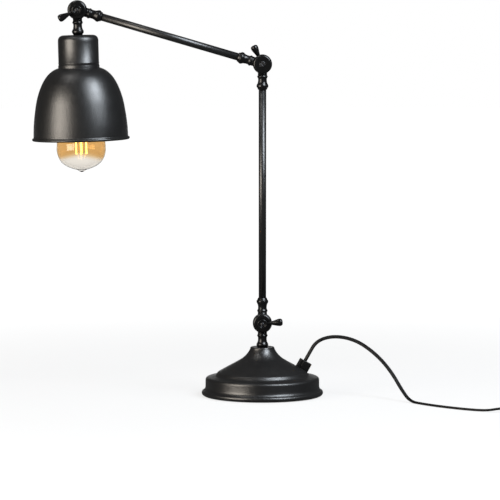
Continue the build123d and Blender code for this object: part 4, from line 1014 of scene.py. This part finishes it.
class LAMP_OT_bulb(bpy.types.Operator):
    """The bulb: threaded cap, glass, mount and filaments"""
    bl_idname = "lamp.bulb"
    bl_label = "Bulb"

    def execute(self, context):
        rim = [(CAP_R, 95.2), (CAP_R, CAP_END), (CAP_R - 0.4, CAP_END), (CAP_R - 0.4, 95.2)]
        crown = [(7.7, CAP_START), (11.6, CAP_START), (12.6, 78.2)]
        cap = np.concatenate([crown, upright(CAP_R, 80.0, 94.4, 74), rim, upright(CAP_BORE, 94.4, 80.5, 30),
                              [(7.7, 79.5)]])
        wave = thread(context.scene.lamp_shape.thread / MM, CAP_PITCH, 79.5, 95.0)
        on_head("bulb_screw", cap, "bulb_cap", "nickel_plate", wave=wave)
        neck = GLASS_NECK_R
        start = [(neck - GLASS_WALL, 91.9), (neck, 91.9), (neck, 97.0)]
        outer = flowing([(neck, 97.0), (13.1, 99.6), (16.2, 113.5), (21.3, 131.0), (26.4, 146.0), (30.2, 162.0),
                         (32.0, 175.0), (32.2, 183.0), (30.2, 192.0), (26.2, 199.0), (20.3, 203.8), (14.2, 206.7),
                         (9.6, 208.3), (6.2, 209.2), (3.6, 210.7), (1.9, 211.8), (0.35, GLASS_TIP)], 110)
        inner = inset(outer[:-6], GLASS_WALL)[::-1]
        inner = inner[inner[:, 0] > 0.3]
        glass = np.concatenate([start, outer, [(0, GLASS_TIP)], [(0, inner[0, 1])], inner])
        on_head("bulb_drop", glass, "bulb_glass", "amber_glass", 128)
        mount = eased([(0, 92.1), (11.8, 92.1), (5.2, 101.1), (3.4, 112.1), (3.4, 138.0), (0.3, 140.0), (0, 140.0)],
                      [0, 0.5, 3, 4, 1.5, 0, 0], steps=7)
        on_head("mount_stem", mount, "bulb_mount", "clear_glass", 64, closed=False)
        rod = eased([(0, ROD_LOW), (ROD_R, ROD_LOW), (ROD_R, ROD_HIGH), (0, ROD_HIGH)], [0, 0.8, 0.8, 0], steps=6)
        turns = np.arange(RODS) * 2 * np.pi / RODS
        spots = placed(ROD_RING * np.stack([np.cos(turns), np.sin(turns), 0 * turns], 1), HEAD, turned_to(HANG))
        rods = [lathe(rod, spot, turned_to(HANG), 20) for spot in spots]
        skin("glow_rods", *rods, body="head", node="bulb_filaments", slot="filament")
        return {"FINISHED"}


CARRIED = {
    "felt_pad": "felt", "base_weight": "weight_iron", "base_nut": "plate_steel", "bulb_insulator": "vitrite",
    "bulb_supports": "support_wire", "rocker": "switch_plastic", "plug_pins": "nickel_plate",
    **dict.fromkeys(("base_nipple", "head_nipple", "centre_contact", "bulb_tip"), "brass"),
    **dict.fromkeys(("inner_lead", "stem_wire", "arm_wire", "head_wire"), "wire_sheath"),
}


class LAMP_OT_carried(bpy.types.Operator):
    """Finishes on the CAD pieces that keep their own shape"""
    bl_idname = "lamp.carried"
    bl_label = "Carried pieces"

    def execute(self, context):
        for node, slot in CARRIED.items():
            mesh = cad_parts[node].data
            mesh.materials.clear()
            mesh.materials.append(finish(slot))
        return {"FINISHED"}


STEPS = ("stage", "cords", "grip", "base", "swivels", "studs", "levers", "tubes", "shade", "holder", "bulb",
         "carried")


class LAMP_PT_panel(bpy.types.Panel):
    """Lists the lamp's settings and its pieces"""
    bl_idname = "LAMP_PT_panel"
    bl_label = "Desk lamp"
    bl_space_type = "VIEW_3D"
    bl_region_type = "UI"
    bl_category = "Lamp"

    def draw(self, context):
        for owner in (context.scene.lamp_shape, context.scene.lamp_finish, context.scene.lamp_stage):
            for name in owner.__annotations__:
                self.layout.prop(owner, name)
        for step in STEPS:
            self.layout.operator(f"lamp.{step}")


CLASSES = (
    LampShape, LampFinish, LampStage, LAMP_OT_stage, LAMP_OT_cords, LAMP_OT_grip, LAMP_OT_base, LAMP_OT_swivels,
    LAMP_OT_studs, LAMP_OT_levers, LAMP_OT_tubes, LAMP_OT_shade, LAMP_OT_holder, LAMP_OT_bulb, LAMP_OT_carried,
    LAMP_PT_panel,
)


def register():
    """Makes the classes known and hangs the settings on the scene."""
    for cls in CLASSES:
        bpy.utils.register_class(cls)
    bpy.types.Scene.lamp_shape = bpy.props.PointerProperty(type=LampShape)
    bpy.types.Scene.lamp_finish = bpy.props.PointerProperty(type=LampFinish)
    bpy.types.Scene.lamp_stage = bpy.props.PointerProperty(type=LampStage)


def unregister():
    """Takes the settings and the classes away again."""
    del bpy.types.Scene.lamp_shape, bpy.types.Scene.lamp_finish, bpy.types.Scene.lamp_stage
    for cls in reversed(CLASSES):
        bpy.utils.unregister_class(cls)


def main():
    """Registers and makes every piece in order."""
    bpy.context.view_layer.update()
    register()
    for step in STEPS:
        getattr(bpy.ops.lamp, step)()
    bpy.context.view_layer.update()


if __name__ == "__main__":
    main()
